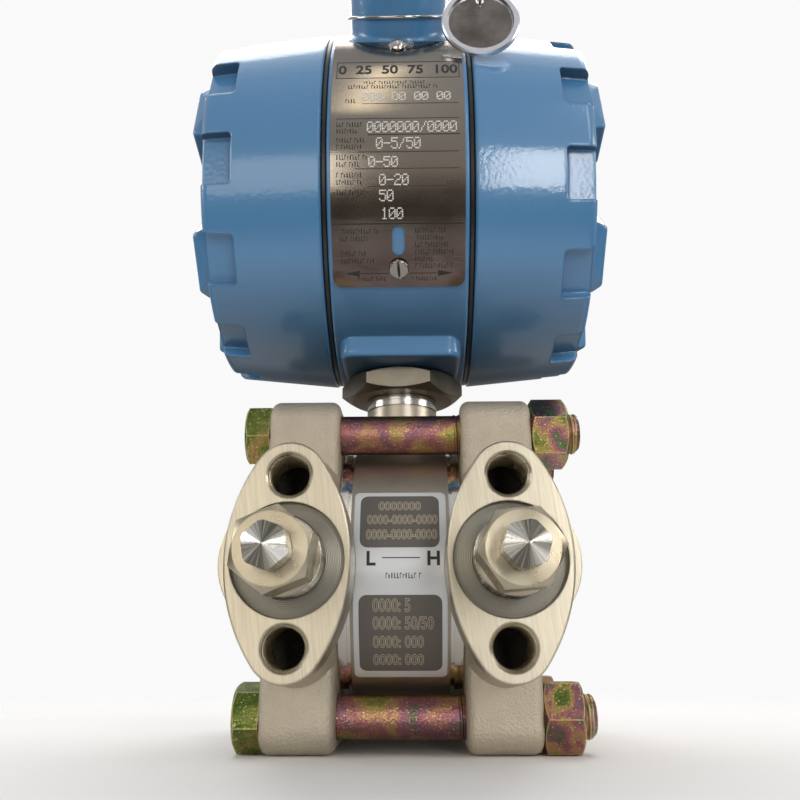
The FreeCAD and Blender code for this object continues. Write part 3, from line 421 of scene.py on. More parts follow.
def zincPlate():
    # yellow chromate: green on the hexagons, rose and gold on the shanks, with bright flecks, worn spots and
    # painted highlights along the hexagons' edges
    s = zincFinish
    material, tree, shader, place = newMaterial("zincPlate", Metallic=1.0)
    x = xyz(tree, place)[0]
    drift = add(tree, "TexNoise", {"Vector": place, "Scale": 85.0, "Detail": 3.0, "Roughness": 0.6,
                                   "Distortion": 0.8}).outputs[0]
    fine = noise(tree, place, 900.0, 3.0)
    onHex = use(tree, band, Value=maths(tree, "ABSOLUTE", x), Low=s["hexStart"], High=farOut,
                Soft=0.0002)["Mask"]
    onHead = maths(tree, "LESS_THAN", x, -s["hexStart"])
    onNut = maths(tree, "SUBTRACT", onHex, onHead, True)
    broad = noise(tree, place, 130.0, 2.0)
    broad = maths(tree, "MULTIPLY", maths(tree, "SUBTRACT", broad, 0.5), s["nutDrift"])
    hue = maths(tree, "MULTIPLY", maths(tree, "SUBTRACT", drift, 0.5), s["drift"])
    hue = maths(tree, "ADD", hue, s["hue"])
    hue = plus(tree, hue, maths(tree, "SUBTRACT", fine, 0.5), s["speckle"])
    hue = plus(tree, hue, onNut, broad)
    hue = maths(tree, "SUBTRACT", hue, maths(tree, "MULTIPLY", onHead, s["headGreen"]))
    colour = ramp(tree, hue, s["stops"])
    fleck = add(tree, "TexVoronoi", {"Vector": place, "Scale": 1300.0}).outputs[0]
    fleck = maths(tree, "MULTIPLY", maths(tree, "LESS_THAN", fleck, s["fleck"]),
                  maths(tree, "GREATER_THAN", fine, s["fleckFrom"]))
    worn = maths(tree, "GREATER_THAN", noise(tree, place, 330.0, 5.0, 0.7), s["wornFrom"])
    marksAndGlints = maths(tree, "MAXIMUM", maths(tree, "MULTIPLY", fleck, s["fleckShow"]),
                  maths(tree, "MULTIPLY", worn, s["wornShow"]))
    # painted highlight: the hexagons' sharp edges are painted bright gold
    edges = maths(tree, "MULTIPLY", edgeMask(tree, 0.6 * mm), maths(tree, "MULTIPLY", onHex, s["edgeGlint"]))
    marksAndGlints = maths(tree, "MAXIMUM", marksAndGlints, edges)
    feed(shader, "Base Color", mixColour(tree, marksAndGlints, colour, (*s["gold"], 1)))
    dull = use(tree, grain, Place=place, Scale=1600.0)
    feed(shader, "Roughness", plus(tree, 0.20, dull["Shade"], 0.18))
    soft = add(tree, "Bevel", {"Radius": 0.0004}, samples=4).outputs[0]
    feed(shader, "Normal", bumped(tree, dull["Height"], 0.55, 0.0003, soft))
    return material


# the stops are painted reflections along the plate, from its top to its lower end
plateFinish = {"stops": [(0.0, (0.20, 0.180, 0.155)), (0.28, (0.34, 0.305, 0.26)),
                         (0.52, (0.42, 0.375, 0.325)), (0.68, (0.46, 0.405, 0.360)),
                         (0.80, (0.15, 0.120, 0.107)), (0.91, (0.095, 0.068, 0.063)),
                         (1.0, (0.18, 0.135, 0.125))],
               "smear": 0.25, "scratch": (0.50, 0.46, 0.40), "scratchFrom": 0.66, "scratchShow": 0.20,
               "rough": 0.09, "roughSpread": 0.08,
               "top": 56.4, "bottom": 136.8}  # the plate's ends in degrees from the top of the drum


def plateSteel():
    # nameplate: fine grain across the width, with painted reflections down its length that turn dark and
    # brown towards the lower end
    s = plateFinish
    material, tree, shader, place = newMaterial("plateSteel", Metallic=1.0)
    _, y, z = xyz(tree, place)
    turn = maths(tree, "ARCTAN2", maths(tree, "SUBTRACT", neckY, y), maths(tree, "SUBTRACT", z, drumCentre.z))
    start, end = math.radians(s["top"]), math.radians(s["bottom"])
    down = maths(tree, "DIVIDE", maths(tree, "SUBTRACT", turn, start), end - start, True)
    lines = use(tree, brushed, Place=place, Stretch=(70, 4200, 4200))
    smear = noise(tree, place, 60.0, 4.0)
    down = plus(tree, down, maths(tree, "SUBTRACT", smear, 0.5), s["smear"])
    # painted reflection: the shade runs in bands from the plate's top to its lower end
    colour = ramp(tree, down, s["stops"])
    scratch = maths(tree, "GREATER_THAN", lines["Height"], s["scratchFrom"])
    scratch = maths(tree, "MULTIPLY", scratch, s["scratchShow"])
    feed(shader, "Base Color", mixColour(tree, scratch, colour, (*s["scratch"], 1)))
    feed(shader, "Roughness", plus(tree, s["rough"], lines["Shade"], s["roughSpread"]))
    feed(shader, "Normal", bumped(tree, lines["Height"], 0.16, 0.00004))
    return material


# the stops and lean give the painted sector highlight on the point
stemFinish = {"stops": [(0.18, (0.13, 0.125, 0.105)), (0.42, (0.36, 0.34, 0.29)),
                        (0.62, (0.62, 0.60, 0.54)), (0.82, (0.86, 0.85, 0.81))],
              "lean": 0.35, "highlightContrast": 0.34, "pitch": 0.22 * mm}


def stemSteel():
    # the point's turned rings get a painted highlight: bright and dark sectors painted in opposite pairs
    # round the port's axis
    s = stemFinish
    material, tree, shader, place = newMaterial("stemSteel", Metallic=1.0, Roughness=0.27)
    x, y, z = xyz(tree, place)
    off = maths(tree, "SUBTRACT", maths(tree, "ABSOLUTE", x), portX)
    side = maths(tree, "MULTIPLY", maths(tree, "SIGN", x), off)
    turn = maths(tree, "ARCTAN2", maths(tree, "SUBTRACT", z, moduleCentre.z), side)
    sectorHighlight = maths(tree, "COSINE", maths(tree, "MULTIPLY", maths(tree, "ADD", turn, s["lean"]), 2.0))
    streak = add(tree, "TexNoise", {"W": maths(tree, "MULTIPLY", turn, 5.0), "Scale": 1.0, "Detail": 4.0},
                 noise_dimensions="1D").outputs[0]
    sectorHighlight = maths(tree, "ADD", maths(tree, "MULTIPLY", sectorHighlight, s["highlightContrast"]), streak)
    across = add(tree, "CombineXYZ", {0: maths(tree, "ABSOLUTE", x), 1: y, 2: z}).outputs[0]
    turned = use(tree, rings, Place=across, Centre=portAxis, Pitch=s["pitch"])
    # painted highlight: the sectors set the base colour
    feed(shader, "Base Color", ramp(tree, sectorHighlight, s["stops"]))
    soft = add(tree, "Bevel", {"Radius": 0.0003}, samples=4).outputs[0]
    feed(shader, "Normal", bumped(tree, turned["Height"], 0.45, 0.00005, soft))
    return material


# the rim colour and the stops are painted reflections: pale on the rim, dark in the middle
tagFinish = {"rim": (0.76, 0.78, 0.86), "rimWidth": 1.9 * mm,
             "stops": [(0.35, (0.16, 0.145, 0.13)), (0.65, (0.34, 0.31, 0.28))]}


def tagSteel():
    # painted reflections: a pale one on the rim round a dark one on the polished middle
    s = tagFinish
    material, tree, shader, place = newMaterial("tagSteel", Metallic=1.0)
    low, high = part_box("round_tag")
    turned = use(tree, rings, Place=place, Centre=middle("round_tag"))
    inner = (high[0] - low[0]) / 2 - s["rimWidth"]
    darkReflection = use(tree, band, Value=turned["Radius"], Low=-farOut, High=inner, Soft=0.0004)["Mask"]
    smear = noise(tree, place, 130.0, 5.0)
    inside = ramp(tree, smear, s["stops"])
    # painted reflection: pale on the rim, dark in the middle
    feed(shader, "Base Color", mixColour(tree, darkReflection, (*s["rim"], 1), inside))
    feed(shader, "Roughness", maths(tree, "SUBTRACT", 0.32, maths(tree, "MULTIPLY", darkReflection, 0.16)))
    feed(shader, "Normal", bumped(tree, smear, 0.08, 0.0002))
    return material


def plainFinish(name, colour, other, scale, rough, metallic=0.0, strength=0.1, **more):
    # moulded or printed surfaces: a slow change of shade and a fine grain
    material, tree, shader, place = newMaterial(name, Metallic=metallic, **more)
    cast = use(tree, grain, Place=place, Scale=scale)
    feed(shader, "Base Color", mixColour(tree, cast["Shade"], (*other, 1), (*colour, 1)))
    feed(shader, "Roughness", plus(tree, rough - 0.04, cast["Shade"], 0.08))
    feed(shader, "Normal", bumped(tree, cast["Height"], strength, 0.0001))
    return material


finishes = {
    "paint": bluePaint(),
    "rubber": blackRubber(),
    "flange": flangeSteel(),
    "module": moduleSteel(),
    "vent": turnedSteel("ventSteel", (0.56, 0.505, 0.39), portAxis, (1, 0, 1), 0.0003, 0.28, 0.35,
                        (0.30, 0.25, 0.17)),
    "stem": stemSteel(),
    "lockNut": turnedSteel("lockNutSteel", (0.40, 0.365, 0.30), (0, neckY, 0), (1, 1, 0), 0.0004, 0.34,
                           0.25, (0.24, 0.21, 0.165)),
    "plug": turnedSteel("plugSteel", (0.60, 0.58, 0.53), (0, neckY, 0), (1, 1, 0), 0.0004, 0.3),
    "zinc": zincPlate(),
    "plate": plateSteel(),
    "polished": polishedSteel("polishedSteel"),
    "tag": tagSteel(),
    "screw": polishedSteel("screwSteel", (0.34, 0.32, 0.29), 0.20),
    "label": plainFinish("labelFoil", (0.66, 0.68, 0.70), (0.60, 0.62, 0.64), 1500.0, 0.34, 0.55, 0.08),
    "labelPanel": plainFinish("labelPanel", (0.135, 0.12, 0.105), (0.11, 0.10, 0.09), 1500.0, 0.42, 0.3),
    "labelPrint": plainFinish("labelPrint", (0.50, 0.44, 0.33), (0.42, 0.36, 0.27), 2500.0, 0.5, 0.2),
    "ink": plainFinish("blackInk", (0.010, 0.010, 0.010), (0.016, 0.015, 0.014), 1500.0, 0.4),
    "stamp": plainFinish("whiteStamp", (0.82, 0.81, 0.77), (0.70, 0.69, 0.65), 2500.0, 0.5),
    "whiteSeal": plainFinish("whiteSeal", (0.80, 0.80, 0.77), (0.74, 0.74, 0.71), 600.0, 0.45),
    "board": plainFinish("boardLacquer", (0.020, 0.16, 0.070), (0.015, 0.12, 0.055), 300.0, 0.3),
    "blackPlastic": plainFinish("blackPlastic", (0.022, 0.022, 0.024), (0.015, 0.015, 0.017), 900.0, 0.5),
    "brass": plainFinish("brassPlate", (0.70, 0.52, 0.24), (0.58, 0.42, 0.18), 700.0, 0.3, 1.0),
}
print("finishes ready:", len(finishes))

nodeFinish = {
    "high_flange": "flange", "low_flange": "flange", "sensor_module": "module", "lock_nut": "lockNut",
    "high_process_seal": "whiteSeal", "low_process_seal": "whiteSeal", "module_label": "label",
    "high_diaphragm": "polished", "low_diaphragm": "polished", "neck_header": "polished",
    "housing_body": "paint", "circuit_cover": "paint", "terminal_cover": "paint",
    "circuit_cover_seal": "rubber", "terminal_cover_seal": "rubber", "nameplate": "plate",
    "nameplate_dome_screw": "polished", "nameplate_slotted_screw": "screw",
    "flange_bolts": "zinc", "flange_nuts": "zinc", "high_vent_body": "vent", "low_vent_body": "vent",
    "high_vent_stem": "stem", "low_vent_stem": "stem", "conduit_plug": "plug", "round_tag": "tag",
    "tag_wire": "polished", "inner_board": "board", "outer_board": "board", "board_spacers": "brass",
    "board_screws": "polished", "board_parts": "blackPlastic", "terminal_block": "blackPlastic",
    "terminal_plates": "brass", "terminal_screws": "polished"}
for node, finish in nodeFinish.items():
    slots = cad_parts[node].data.materials
    slots.clear()
    slots.append(finishes[finish])
print("nodes dressed:", len(nodeFinish))


coverShape = {"taper": 3.4 * mm, "full": 52.6 * mm,  # the whole taper applies from this radius outwards
              "outside": 51.6 * mm, "endSkin": 1.6 * mm,  # inside both of these, bore and thread stay
              "dish": 26.2 * mm}


def drawnInCovers():
    # the cast covers narrow a little from the joint to the end
    s = coverShape
    for name in ("circuit_cover", "terminal_cover"):
        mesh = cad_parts[name].data.copy()
        reach = [abs(v.co.x) for v in mesh.vertices]
        offs = [Vector((0, v.co.y - drumCentre.y, v.co.z - drumCentre.z)) for v in mesh.vertices]
        start, end = min(reach), max(x for x, off in zip(reach, offs) if off.length < s["dish"])
        for v, x, off in zip(mesh.vertices, reach, offs):
            if off.length < s["outside"] and x < end - s["endSkin"]:
                continue
            along = min((x - start) / (end - start), 1)
            inward = s["taper"] * along * min(off.length / s["full"], 1)
            v.co -= off.normalized() * inward
        piece = bpy.data.objects.new(name + "_cast", mesh)
        bpy.context.scene.collection.objects.link(piece)
        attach(piece, name)
        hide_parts(name)


drawnInCovers()
print("covers drawn in")


def newPiece(name, bm, body, finish, sharp=None):
    # sharp is the angle in degrees from which an edge of a rounded piece stays sharp
    mesh = bpy.data.meshes.new(name)
    if sharp is not None:
        bmesh.ops.recalc_face_normals(bm, faces=bm.faces)
    bm.to_mesh(mesh)
    bm.free()
    if sharp is not None:
        mesh.shade_smooth()
        mesh.set_sharp_from_angle(angle=math.radians(sharp))
    mesh.materials.append(finishes[finish])
    piece = bpy.data.objects.new(name, mesh)
    bpy.context.scene.collection.objects.link(piece)
    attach(piece, body)


def aimed(centre, axis):
    # carries a shape made about Z to a place, with its Z along the axis
    return Matrix.Translation(centre) @ Vector(axis).to_track_quat("Z", "X").to_matrix().to_4x4()


threadSizes = {  # millimetres: a ridge stands on its wall's radius and reaches its tip's
    "tapped": {"wall": 5.36, "tip": 4.82, "pitch": 1.27, "perTurn": 36, "start": 0.9, "end": 15.6},
    "port": {"wall": 6.41, "tip": 5.75, "pitch": 1.41, "perTurn": 36, "start": 0.8, "end": 14.6,
             "sunk": 2.2},
    "entry": {"wall": 9.91, "tip": 9.20, "pitch": 1.81, "perTurn": 48, "start": 1.6, "end": 15.4,
              "face": 69.8, "lean": 39.5},  # the lean is in degrees
    "bolt": {"wall": 5.52, "tip": 5.82, "pitch": 1.27, "perTurn": 30, "spreadY": 24, "spreadZ": 38.1,
             "inNut": 0.2, "endBevel": 1.1, "overModule": 1.6, "pastModule": 1.0},
    "collar": {"wall": 9.28, "tip": 9.62, "pitch": 1.41, "perTurn": 40, "start": 15.6, "end": 23.4}}
threadSharp = 30  # degrees
threadFill = 0.46  # half a ridge's foot, as a share of the pitch


def helix(bm, size, start, end, place):
    # one ridge wound between two heights above the place it is aimed from
    wall, tip, pitch = size["wall"] * mm, size["tip"] * mm, size["pitch"] * mm
    half = pitch * threadFill
    ring = bmesh.new()
    corners = [ring.verts.new((r, 0, z)) for r, z in
               ((wall, start - half), (tip, start), (wall, start + half))]
    face = ring.faces.new(corners)
    turns = (end - start) / pitch
    steps = int(turns * size["perTurn"])
    bmesh.ops.spin(ring, geom=[face] + ring.verts[:] + ring.edges[:], cent=(0, 0, 0), axis=(0, 0, 1),
                   dvec=(0, 0, (end - start) / steps), angle=turns * 2 * math.pi, steps=steps,
                   use_merge=False, use_duplicate=False)
    bmesh.ops.remove_doubles(ring, verts=ring.verts, dist=1e-7)
    bmesh.ops.recalc_face_normals(ring, faces=ring.faces)
    bmesh.ops.transform(ring, matrix=place, verts=ring.verts)
    temporary = bpy.data.meshes.new("ring")
    ring.to_mesh(temporary)
    ring.free()
    bm.from_mesh(temporary)
    bpy.data.meshes.remove(temporary)


def tappedHoleThreads():
    s = threadSizes["tapped"]
    bm = bmesh.new()
    for side in (-1, 1):
        for face, way in ((frontFace, 1), (rearFace, -1)):
            for lift in (-tappedSpread, tappedSpread):
                helix(bm, s, s["start"] * mm, s["end"] * mm,
                      aimed((side * portX, face, moduleCentre.z + lift), (0, way, 0)))
    newPiece("tapped_hole_threads", bm, "base", "vent", threadSharp)


def processPortThreads():
    s = threadSizes["port"]
    bm = bmesh.new()
    for side in (-1, 1):
        helix(bm, s, s["start"] * mm, s["end"] * mm,
              aimed((side * portX, rearFace - s["sunk"] * mm, moduleCentre.z), (0, -1, 0)))
    newPiece("process_port_threads", bm, "base", "stem", threadSharp)


def conduitEntryThread():
    s = threadSizes["entry"]
    bm = bmesh.new()
    lean = math.radians(s["lean"])
    out = Vector((0, -math.sin(lean), math.cos(lean)))
    helix(bm, s, s["start"] * mm, s["end"] * mm, aimed(drumCentre + out * s["face"] * mm, -out))
    newPiece("conduit_entry_thread", bm, "housing", "polished", threadSharp)


def boltThreads():
    # each bolt shows its thread beyond the nut and at the module's side
    s = threadSizes["bolt"]
    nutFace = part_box("flange_nuts")[1][0]
    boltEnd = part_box("flange_bolts")[1][0]
    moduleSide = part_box("sensor_module")[1][0]
    bm = bmesh.new()
    for y in (-s["spreadY"], s["spreadY"]):
        for z in (-s["spreadZ"], s["spreadZ"]):
            for start, end in ((nutFace - s["inNut"] * mm, boltEnd - s["endBevel"] * mm),
                               (moduleSide - s["overModule"] * mm, moduleSide + s["pastModule"] * mm)):
                helix(bm, s, start, end,
                      aimed((0, neckY + y * mm, moduleCentre.z + z * mm), (1, 0, 0)))
    newPiece("bolt_threads", bm, "base", "zinc", threadSharp)


def ventCollarThreads():
    s = threadSizes["collar"]
    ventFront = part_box("low_vent_body")[0][1]
    bm = bmesh.new()
    for side in (-1, 1):
        helix(bm, s, s["start"] * mm, s["end"] * mm,
              aimed((side * portX, ventFront, moduleCentre.z), (0, 1, 0)))
    newPiece("vent_collar_threads", bm, "base", "stem", threadSharp)


tappedHoleThreads()
processPortThreads()
conduitEntryThread()
boltThreads()
ventCollarThreads()
print("threads cut")


smallPrint = {"pitch": 0.74, "space": 0.55, "margin": 0.35, "stroke": 0.16, "wider": 0.07,  # millimetres
              "bar": 0.5, "barHeight": 0.2, "drop": 0.28}  # the last two are shares of a line's height


# print lies just above a curved face: x runs along the drum, and a turn from the top runs down it
class Print:
    def __init__(self, centre, radius):
        self.centre, self.radius, self.bm = centre, radius, bmesh.new()

    def bar(self, x0, x1, a0, a1):
        # a bar from x0 to x1 in millimetres and from a0 to a1 in degrees
        reach = self.radius * math.radians(a1 - a0)
        middlePlace = Matrix.Translation(((x0 + x1) / 2 * mm, -self.radius * math.radians((a0 + a1) / 2), 0))
        size = Matrix.Diagonal((abs(x1 - x0) / 2 * mm, abs(reach) / 2, 1, 1))
        grid = bmesh.ops.create_grid(self.bm, x_segments=1, y_segments=1, size=1.0,
                                     matrix=middlePlace @ size)
        return grid["verts"]

    def dot(self, x, a, radius):
        place = Matrix.Translation((x * mm, -self.radius * math.radians(a), 0))
        bmesh.ops.create_circle(self.bm, cap_ends=True, segments=6, radius=radius * mm, matrix=place)

    def border(self, x0, x1, a0, a1, width):
        turn = math.degrees(width * mm / self.radius)
        self.bar(x0, x1, a0, a0 + turn)
        self.bar(x0, x1, a1 - turn, a1)
        self.bar(x0, x0 + width, a0, a1)
        self.bar(x1 - width, x1, a0, a1)

    def words(self, x0, x1, a0, a1, seed):
        # plain strokes that fill a line of small print, in an order that the seed sets
        s = smallPrint
        at, count, tall = x0, 0, a1 - a0
        while at < x1 - s["margin"]:
            step = (seed * 7 + count * 5) % 11
            if step == 3:
                at += s["space"]
            low = a0 if step % 4 else a0 + tall * s["drop"]
            self.bar(at, at + s["stroke"] + s["wider"] * (step % 3), low, a1)
            if step % 3 == 0:
                self.bar(at, at + s["bar"], low, low + tall * s["barHeight"])
            if step % 3 == 1:
                self.bar(at, at + s["bar"], a1 - tall * s["barHeight"], a1)
            at += s["pitch"]
            count += 1

    def arrow(self, point, foot, angle, half):
        ends = ((point, angle), (foot, angle - half), (foot, angle + half))
        self.bm.faces.new([self.bm.verts.new((x * mm, -self.radius * math.radians(a), 0)) for x, a in ends])

    def roundBox(self, x0, x1, a0, a1, corner):
        bmesh.ops.bevel(self.bm, geom=self.bar(x0, x1, a0, a1), offset=corner * mm, offset_type="OFFSET",
                        segments=6, profile=0.5, affect="VERTICES", material=-1)

    def text(self, words, x, a, height, bold, squeeze=1.0, anchor="CENTER"):
        curve = bpy.data.curves.new("words", "FONT")
        curve.body, curve.size, curve.align_x, curve.align_y = words, height * mm, anchor, "CENTER"
        curve.offset = bold * mm
        curve.resolution_u = 4
        holder = bpy.data.objects.new("words", curve)
        bpy.context.scene.collection.objects.link(holder)
        bpy.context.view_layer.update()
        flat = bpy.data.meshes.new_from_object(holder.evaluated_get(bpy.context.evaluated_depsgraph_get()))
        flat.transform(Matrix.Translation((x * mm, -self.radius * math.radians(a), 0))
                       @ Matrix.Diagonal((squeeze, 1, 1, 1)))
        self.bm.from_mesh(flat)
        bpy.data.objects.remove(holder)
        bpy.data.curves.remove(curve)
        bpy.data.meshes.remove(flat)

    def finish(self, name, lift, body, finish):
        # cuts the flat print into strips a millimetre wide and wraps it onto the drum, facing outwards
        reach = self.radius + lift * mm
        heights = [vert.co.y for vert in self.bm.verts]
        low, strips = min(heights), math.ceil((max(heights) - min(heights)) / mm)
        for i in range(1, strips):
            bmesh.ops.bisect_plane(self.bm, geom=self.bm.verts[:] + self.bm.edges[:] + self.bm.faces[:],
                                   plane_co=(0, low + i * mm, 0), plane_no=(0, 1, 0))
        for vert in self.bm.verts:
            angle = -vert.co.y / self.radius
            vert.co = self.centre + Vector((vert.co.x, -reach * math.sin(angle), reach * math.cos(angle)))
        for face in self.bm.faces:
            face.normal_update()
            out = face.calc_center_median() - self.centre
            if face.normal.dot(Vector((0, out.y, out.z))) < 0:
                face.normal_flip()
        newPiece(name, self.bm, body, finish)


dotDigits = {  # seven rows of five dots
    "0": "01110 10001 10011 10101 11001 10001 01110",
    "1": "00100 01100 00100 00100 00100 00100 01110",
    "2": "01110 10001 00001 00110 01000 10000 11111",
    "5": "11111 10000 11110 00001 00001 10001 01110",
    "-": "00000 00000 00000 11111 00000 00000 00000",
    "/": "00001 00010 00010 00100 01000 01000 10000",
    " ": "00000 00000 00000 00000 00000 00000 00000"}
platePrint = {  # places are millimetres from the plate's middle, then degrees from the top of the drum
    "proud": 0.8, "lift": 0.03, "stampLift": 0.05, "border": (-17.3, 17.5, 69.2, 76.4, 0.24),
    "scale": ("0  25  50  75  100", 0.1, 72.9, 5.2, 0.14, 0.90),
    "rules": [(-9.8, 16.8, 85.6, 0.16), (-17, 17, 90.4, 0.18), (-8.2, 17, 95.2, 0.30),
              (-10.9, 16.8, 100.1, 0.22), (-11.8, 16.8, 104.7, 0.20), (-8.2, 13.2, 109.4, 0.18),
              (-8.3, 7.1, 113.9, 0.16), (-6.7, 17, 118.4, 0.18), (-18.2, 18.2, 119.3, 0.34)],
    "lines": [(-9.5, 7.5, 77.5, 78.6), (-13.8, 11.3, 79.0, 80.3), (-15.0, -11.4, 84.0, 85.3),
              (13.5, 16.6, 108.0, 109.1), (7.2, 16.2, 112.4, 113.5), (3.2, 16.8, 57.6, 58.8),
              (3.6, 16.8, 60.0, 61.2), (3.4, 16.8, 62.6, 63.8), (-8.4, -3.4, 58.0, 59.2),
              (-8.4, -3.4, 60.4, 61.6), (-8.4, -3.4, 62.8, 64.0)],
    "lineHeight": 1.3, "captions": (91.4, 96.0, 100.8, 105.6, 110.2, 114.8), "captionStart": -16.8,
    "captionLines": ((-9.8, 3, 0.1, 3), (-10.6, 2, 2.0, 5)),  # end, steps it varies by, drop and seed
    "rightNotes": (13.4, 12.6, 14.2, 15.6, 10.0, 15.0), "rightStart": 4.6, "rightTop": 120.4,
    "rightPitch": 1.95, "leftStart": -16.0,
    "leftNotes": ((-5.4, 120.6), (-8.4, 122.6), (-9.0, 126.6), (-6.6, 128.6)),
    "arrow": {"inner": 2.9, "outer": 11.2, "top": 132.75, "bottom": 132.98,
              "point": 15.2, "foot": 11.0, "angle": 132.87, "half": 0.87},
    "underArrows": ((-11.5, -3.6, 133.9, 135.0, 4), (3.6, 10.8, 133.9, 135.0, 6)),
    # the slot settings place a painted shade strip on the screw slot's floor
    "slot": (-0.38, 0.38, 129.2, 133.6), "slotProud": 1.75,
    "stamped": [("000 00 00 00", -9.8, 81.9, 84.4), ("0000000/0000", -8.3, 91.5, 94.4),
                ("0-5/50", -5.8, 96.2, 99.1), ("0-50", -7.9, 101.5, 104.1),
                ("0-20", -5.0, 106.3, 109.0), ("50", -5.0, 110.5, 113.2), ("100", -4.5, 115.2, 117.9)],
    "digitPitch": 2.08, "dotPitch": 0.385, "dotRadius": 0.225}


def platePrinting():
    # frame, scale, rules, small print and arrows, all plain, and a painted shade strip on the screw slot's
    # floor
    s = platePrint
    radius = drumRadius + s["proud"] * mm
    tall = s["lineHeight"]
    ink = Print(drumCentre, radius)
    ink.border(*s["border"])
    ink.text(*s["scale"])
    for x0, x1, angle, width in s["rules"]:
        turn = math.degrees(width * mm / radius) / 2
        ink.bar(x0, x1, angle - turn, angle + turn)
    for number, line in enumerate(s["lines"]):
        ink.words(*line, number)
    for number, angle in enumerate(s["captions"]):
        for right, steps, drop, seed in s["captionLines"]:
            top = angle + drop
            ink.words(s["captionStart"], right + number % steps, top, top + tall, number + seed)
    for number, right in enumerate(s["rightNotes"]):
        angle = s["rightTop"] + number * s["rightPitch"]
        ink.words(s["rightStart"], right, angle, angle + tall, number + 1)
    for number, (right, angle) in enumerate(s["leftNotes"]):
        ink.words(s["leftStart"], right, angle, angle + tall, number + 2)
    for line in s["underArrows"]:
        ink.words(*line)
    a = s["arrow"]
    for side in (-1, 1):
        ink.bar(side * a["inner"], side * a["outer"], a["top"], a["bottom"])
        ink.arrow(side * a["point"], side * a["foot"], a["angle"], a["half"])
    ink.finish("nameplate_print", s["lift"], "housing", "ink")
    # painted shade: a dark strip laid on the floor of the slotted screw's slot
    slot = Print(drumCentre, drumRadius + s["slotProud"] * mm)
    slot.bar(*s["slot"])
    slot.finish("screw_slot_shade", 0.0, "housing", "ink")


def plateStamping():
    # placeholder digits, each a grid of dots
    s = platePrint
    stamp = Print(drumCentre, drumRadius + s["proud"] * mm)
    for words, x, a0, a1 in s["stamped"]:
        for place, letter in enumerate(words):
            for row, line in enumerate(dotDigits[letter].split()):
                for column, dot in enumerate(line):
                    if dot == "1":
                        stamp.dot(x + place * s["digitPitch"] + column * s["dotPitch"],
                                  a0 + (a1 - a0) * row / 6, s["dotRadius"])
    stamp.finish("nameplate_stamped_numbers", s["stampLift"], "housing", "stamp")


platePrinting()
plateStamping()


labelPrint = {  # places are millimetres from the label's middle, then degrees from the module's top
    "radius": 38.25, "lift": 0.03, "corner": 2.1,
    "panels": {"upper": (-10.6, 10.4, 60.4, 83.0), "lower": (-10.8, 10.85, 101.2, 133.6)},
    "sides": (("L", -7.7), ("H", 8.75)), "sidesAngle": 87.5, "sidesHeight": 5.1, "sidesBold": 0.16,
    "line": (-4.7, 5.2, 86.8, 87.2), "smallLine": (-4.3, 5.2, 92.8, 94.9, 2),
    # words, place, height, squeeze and anchor of each row
    "rows": [("0000000", -0.1, 65.4, 3.6, 0.9, "CENTER"), ("0000-0000-0000", 0.6, 71.6, 3.6, 0.78, "CENTER"),
             ("0000-0000-0000", 0.4, 77.9, 3.6, 0.78, "CENTER"), ("0000: 5", -7.2, 105.4, 4.6, 0.72, "LEFT"),
             ("0000: 50/50", -7.2, 112.4, 4.6, 0.72, "LEFT"), ("0000: 000", -7.2, 120.2, 4.6, 0.72, "LEFT"),
             ("0000: 000", -7.2, 128.2, 4.6, 0.72, "LEFT")],
    # the rows' digits are pale outlines round a dark core
    "layers": {"outline": (0.15, 0.05, "labelPrint"), "core": (-0.03, 0.07, "labelPanel")}}


def labelPrinting():
    s = labelPrint
    radius = s["radius"] * mm
    for name, edges in s["panels"].items():
        panel = Print(moduleCentre, radius)
        panel.roundBox(*edges, s["corner"])
        panel.finish("label_" + name + "_panel", s["lift"], "base", "labelPanel")
    ink = Print(moduleCentre, radius)
    for letter, x in s["sides"]:
        ink.text(letter, x, s["sidesAngle"], s["sidesHeight"], s["sidesBold"])
    ink.bar(*s["line"])
    ink.words(*s["smallLine"])
    ink.finish("label_print", s["lift"], "base", "ink")
    for layer, (bold, lift, finish) in s["layers"].items():
        rows = Print(moduleCentre, radius)
        for words, x, angle, height, squeeze, anchor in s["rows"]:
            rows.text(words, x, angle, height, bold, squeeze, anchor)
        rows.finish("label_rows_" + layer, lift, "base", finish)


labelPrinting()
print("plate and label printed")


floorSettings = {"colour": (0.82, 0.815, 0.81), "drop": 0.2 * mm, "fadeStart": 0.12, "fadeEnd": 0.34}


def makeFloor():
    # a pale round floor whose rim fades into the room
    s = floorSettings
    bm = bmesh.new()
    bmesh.ops.create_circle(bm, cap_ends=True, segments=96, radius=s["fadeEnd"])
    bmesh.ops.translate(bm, vec=(0, 0, -s["drop"]), verts=bm.verts)
    mesh = bpy.data.meshes.new("floor")
    bm.to_mesh(mesh)
    bm.free()
    floor = bpy.data.objects.new("floor", mesh)
    bpy.context.scene.collection.objects.link(floor)
    material = plainFinish("floorPaper", s["colour"], s["colour"], 200.0, 0.8)
    tree = material.node_tree
    shader = next(n for n in tree.nodes if n.type == "BSDF_PRINCIPLED")
    place = next(n for n in tree.nodes if n.type == "TEX_COORD").outputs["Object"]
    radius = add(tree, "VectorMath", {0: place}, operation="LENGTH").outputs["Value"]
    shown = add(tree, "MapRange", {0: radius, 1: s["fadeStart"], 2: s["fadeEnd"], 3: 1.0, 4: 0.0},
                interpolation_type="SMOOTHSTEP").outputs[0]
    feed(shader, "Alpha", shown)
    mesh.materials.append(material)


roomSettings = {"seen": 0.95, "stops": [  # what the camera sees, and what lights the object from below up
    (0.0, (0.055, 0.045, 0.038)), (0.40, (0.10, 0.085, 0.075)), (0.50, (0.25, 0.23, 0.21)),
    (0.66, (0.36, 0.35, 0.34)), (1.0, (0.58, 0.59, 0.62))]}


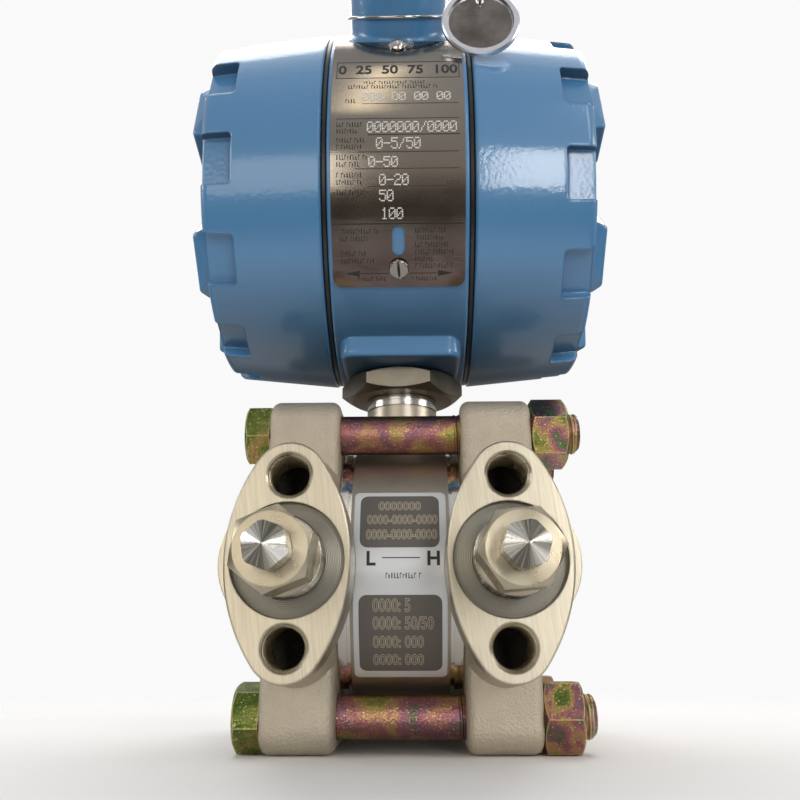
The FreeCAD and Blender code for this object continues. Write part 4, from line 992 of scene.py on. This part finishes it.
def makeRoom():
    s = roomSettings
    world = bpy.data.worlds.new("softRoom")
    world.use_nodes = True
    tree = world.node_tree
    tree.nodes.clear()
    way = xyz(tree, add(tree, "TexCoord").outputs["Generated"])[2]
    sky = ramp(tree, maths(tree, "ADD", maths(tree, "MULTIPLY", way, 0.5), 0.5), s["stops"])
    cameraRay = add(tree, "LightPath").outputs["Is Camera Ray"]
    both = mixColour(tree, cameraRay, sky, (s["seen"], s["seen"], s["seen"], 1))
    back = add(tree, "Background", {"Color": both, "Strength": 1.0})
    add(tree, "OutputWorld", {"Surface": back.outputs[0]})
    bpy.context.scene.world = world


lamps = {  # place, aim, width, height, watts and colour of each softbox
    "topBox": ((0.0, 0.48, 1.05), (0, 0, 0.1), 1.1, 0.8, 9.5, (1, 0.98, 0.95)),
    "stripBox": ((-0.052, -0.62, 1.05), (0, 0, 0.15), 0.05, 0.7, 0.26, (1, 0.88, 0.66)),
    "windowBox": ((0.405, -1.08, 0.20), (0.04, 0, 0.15), 0.17, 0.46, 2.7, (1, 1, 1)),
    "highWindowBox": ((0.56, -0.85, 0.80), (0.04, 0, 0.15), 0.10, 0.45, 1.0, (1, 1, 1)),
    "leftBox": ((-0.40, -1.0, 0.16), (0, 0, 0.06), 0.62, 0.42, 1.9, (1, 0.95, 0.85)),
    "sideBox": ((0.95, -0.25, 0.45), (0, 0, 0.12), 0.4, 0.3, 2.4, (1, 0.97, 0.92)),
    "farSideBox": ((-0.95, -0.15, 0.45), (0, 0, 0.12), 0.4, 0.3, 2.0, (1, 1, 1))}


def softbox(name, place, aim, width, height, power, colour):
    light = bpy.data.lights.new(name, "AREA")
    light.shape, light.size, light.size_y = "RECTANGLE", width, height
    light.energy, light.color = power, colour
    box = bpy.data.objects.new(name, light)
    box.location = place
    box.rotation_euler = (Vector(aim) - Vector(place)).to_track_quat("-Z", "Y").to_euler()
    bpy.context.scene.collection.objects.link(box)


cameraSettings = {"eye": (4.25 * mm, neckY - 264.4 * mm, 26.8 * mm), "lens": 38.66, "sensor": 36.0,
                  "pitch": 16.0, "yaw": -1.05, "roll": -0.15}  # the turns are in degrees


def makeCamera():
    s = cameraSettings
    camera = bpy.data.cameras.new("camera")
    camera.lens, camera.sensor_width = s["lens"], s["sensor"]
    camera.clip_start, camera.clip_end = 0.005, 20.0
    eye = bpy.data.objects.new("camera", camera)
    eye.location = s["eye"]
    yaw, pitch = math.radians(s["yaw"]), math.radians(s["pitch"])
    ahead = Vector((math.sin(yaw) * math.cos(pitch), math.cos(yaw) * math.cos(pitch), math.sin(pitch)))
    turn = ahead.to_track_quat("-Z", "Y").to_matrix() @ Matrix.Rotation(math.radians(s["roll"]), 3, "Z")
    eye.rotation_euler = turn.to_euler()
    bpy.context.scene.collection.objects.link(eye)
    bpy.context.scene.camera = eye


makeFloor()
makeRoom()
for name, settings in lamps.items():
    softbox(name, *settings)
makeCamera()
bpy.context.scene.view_settings.view_transform = "Standard"
print("stage ready")
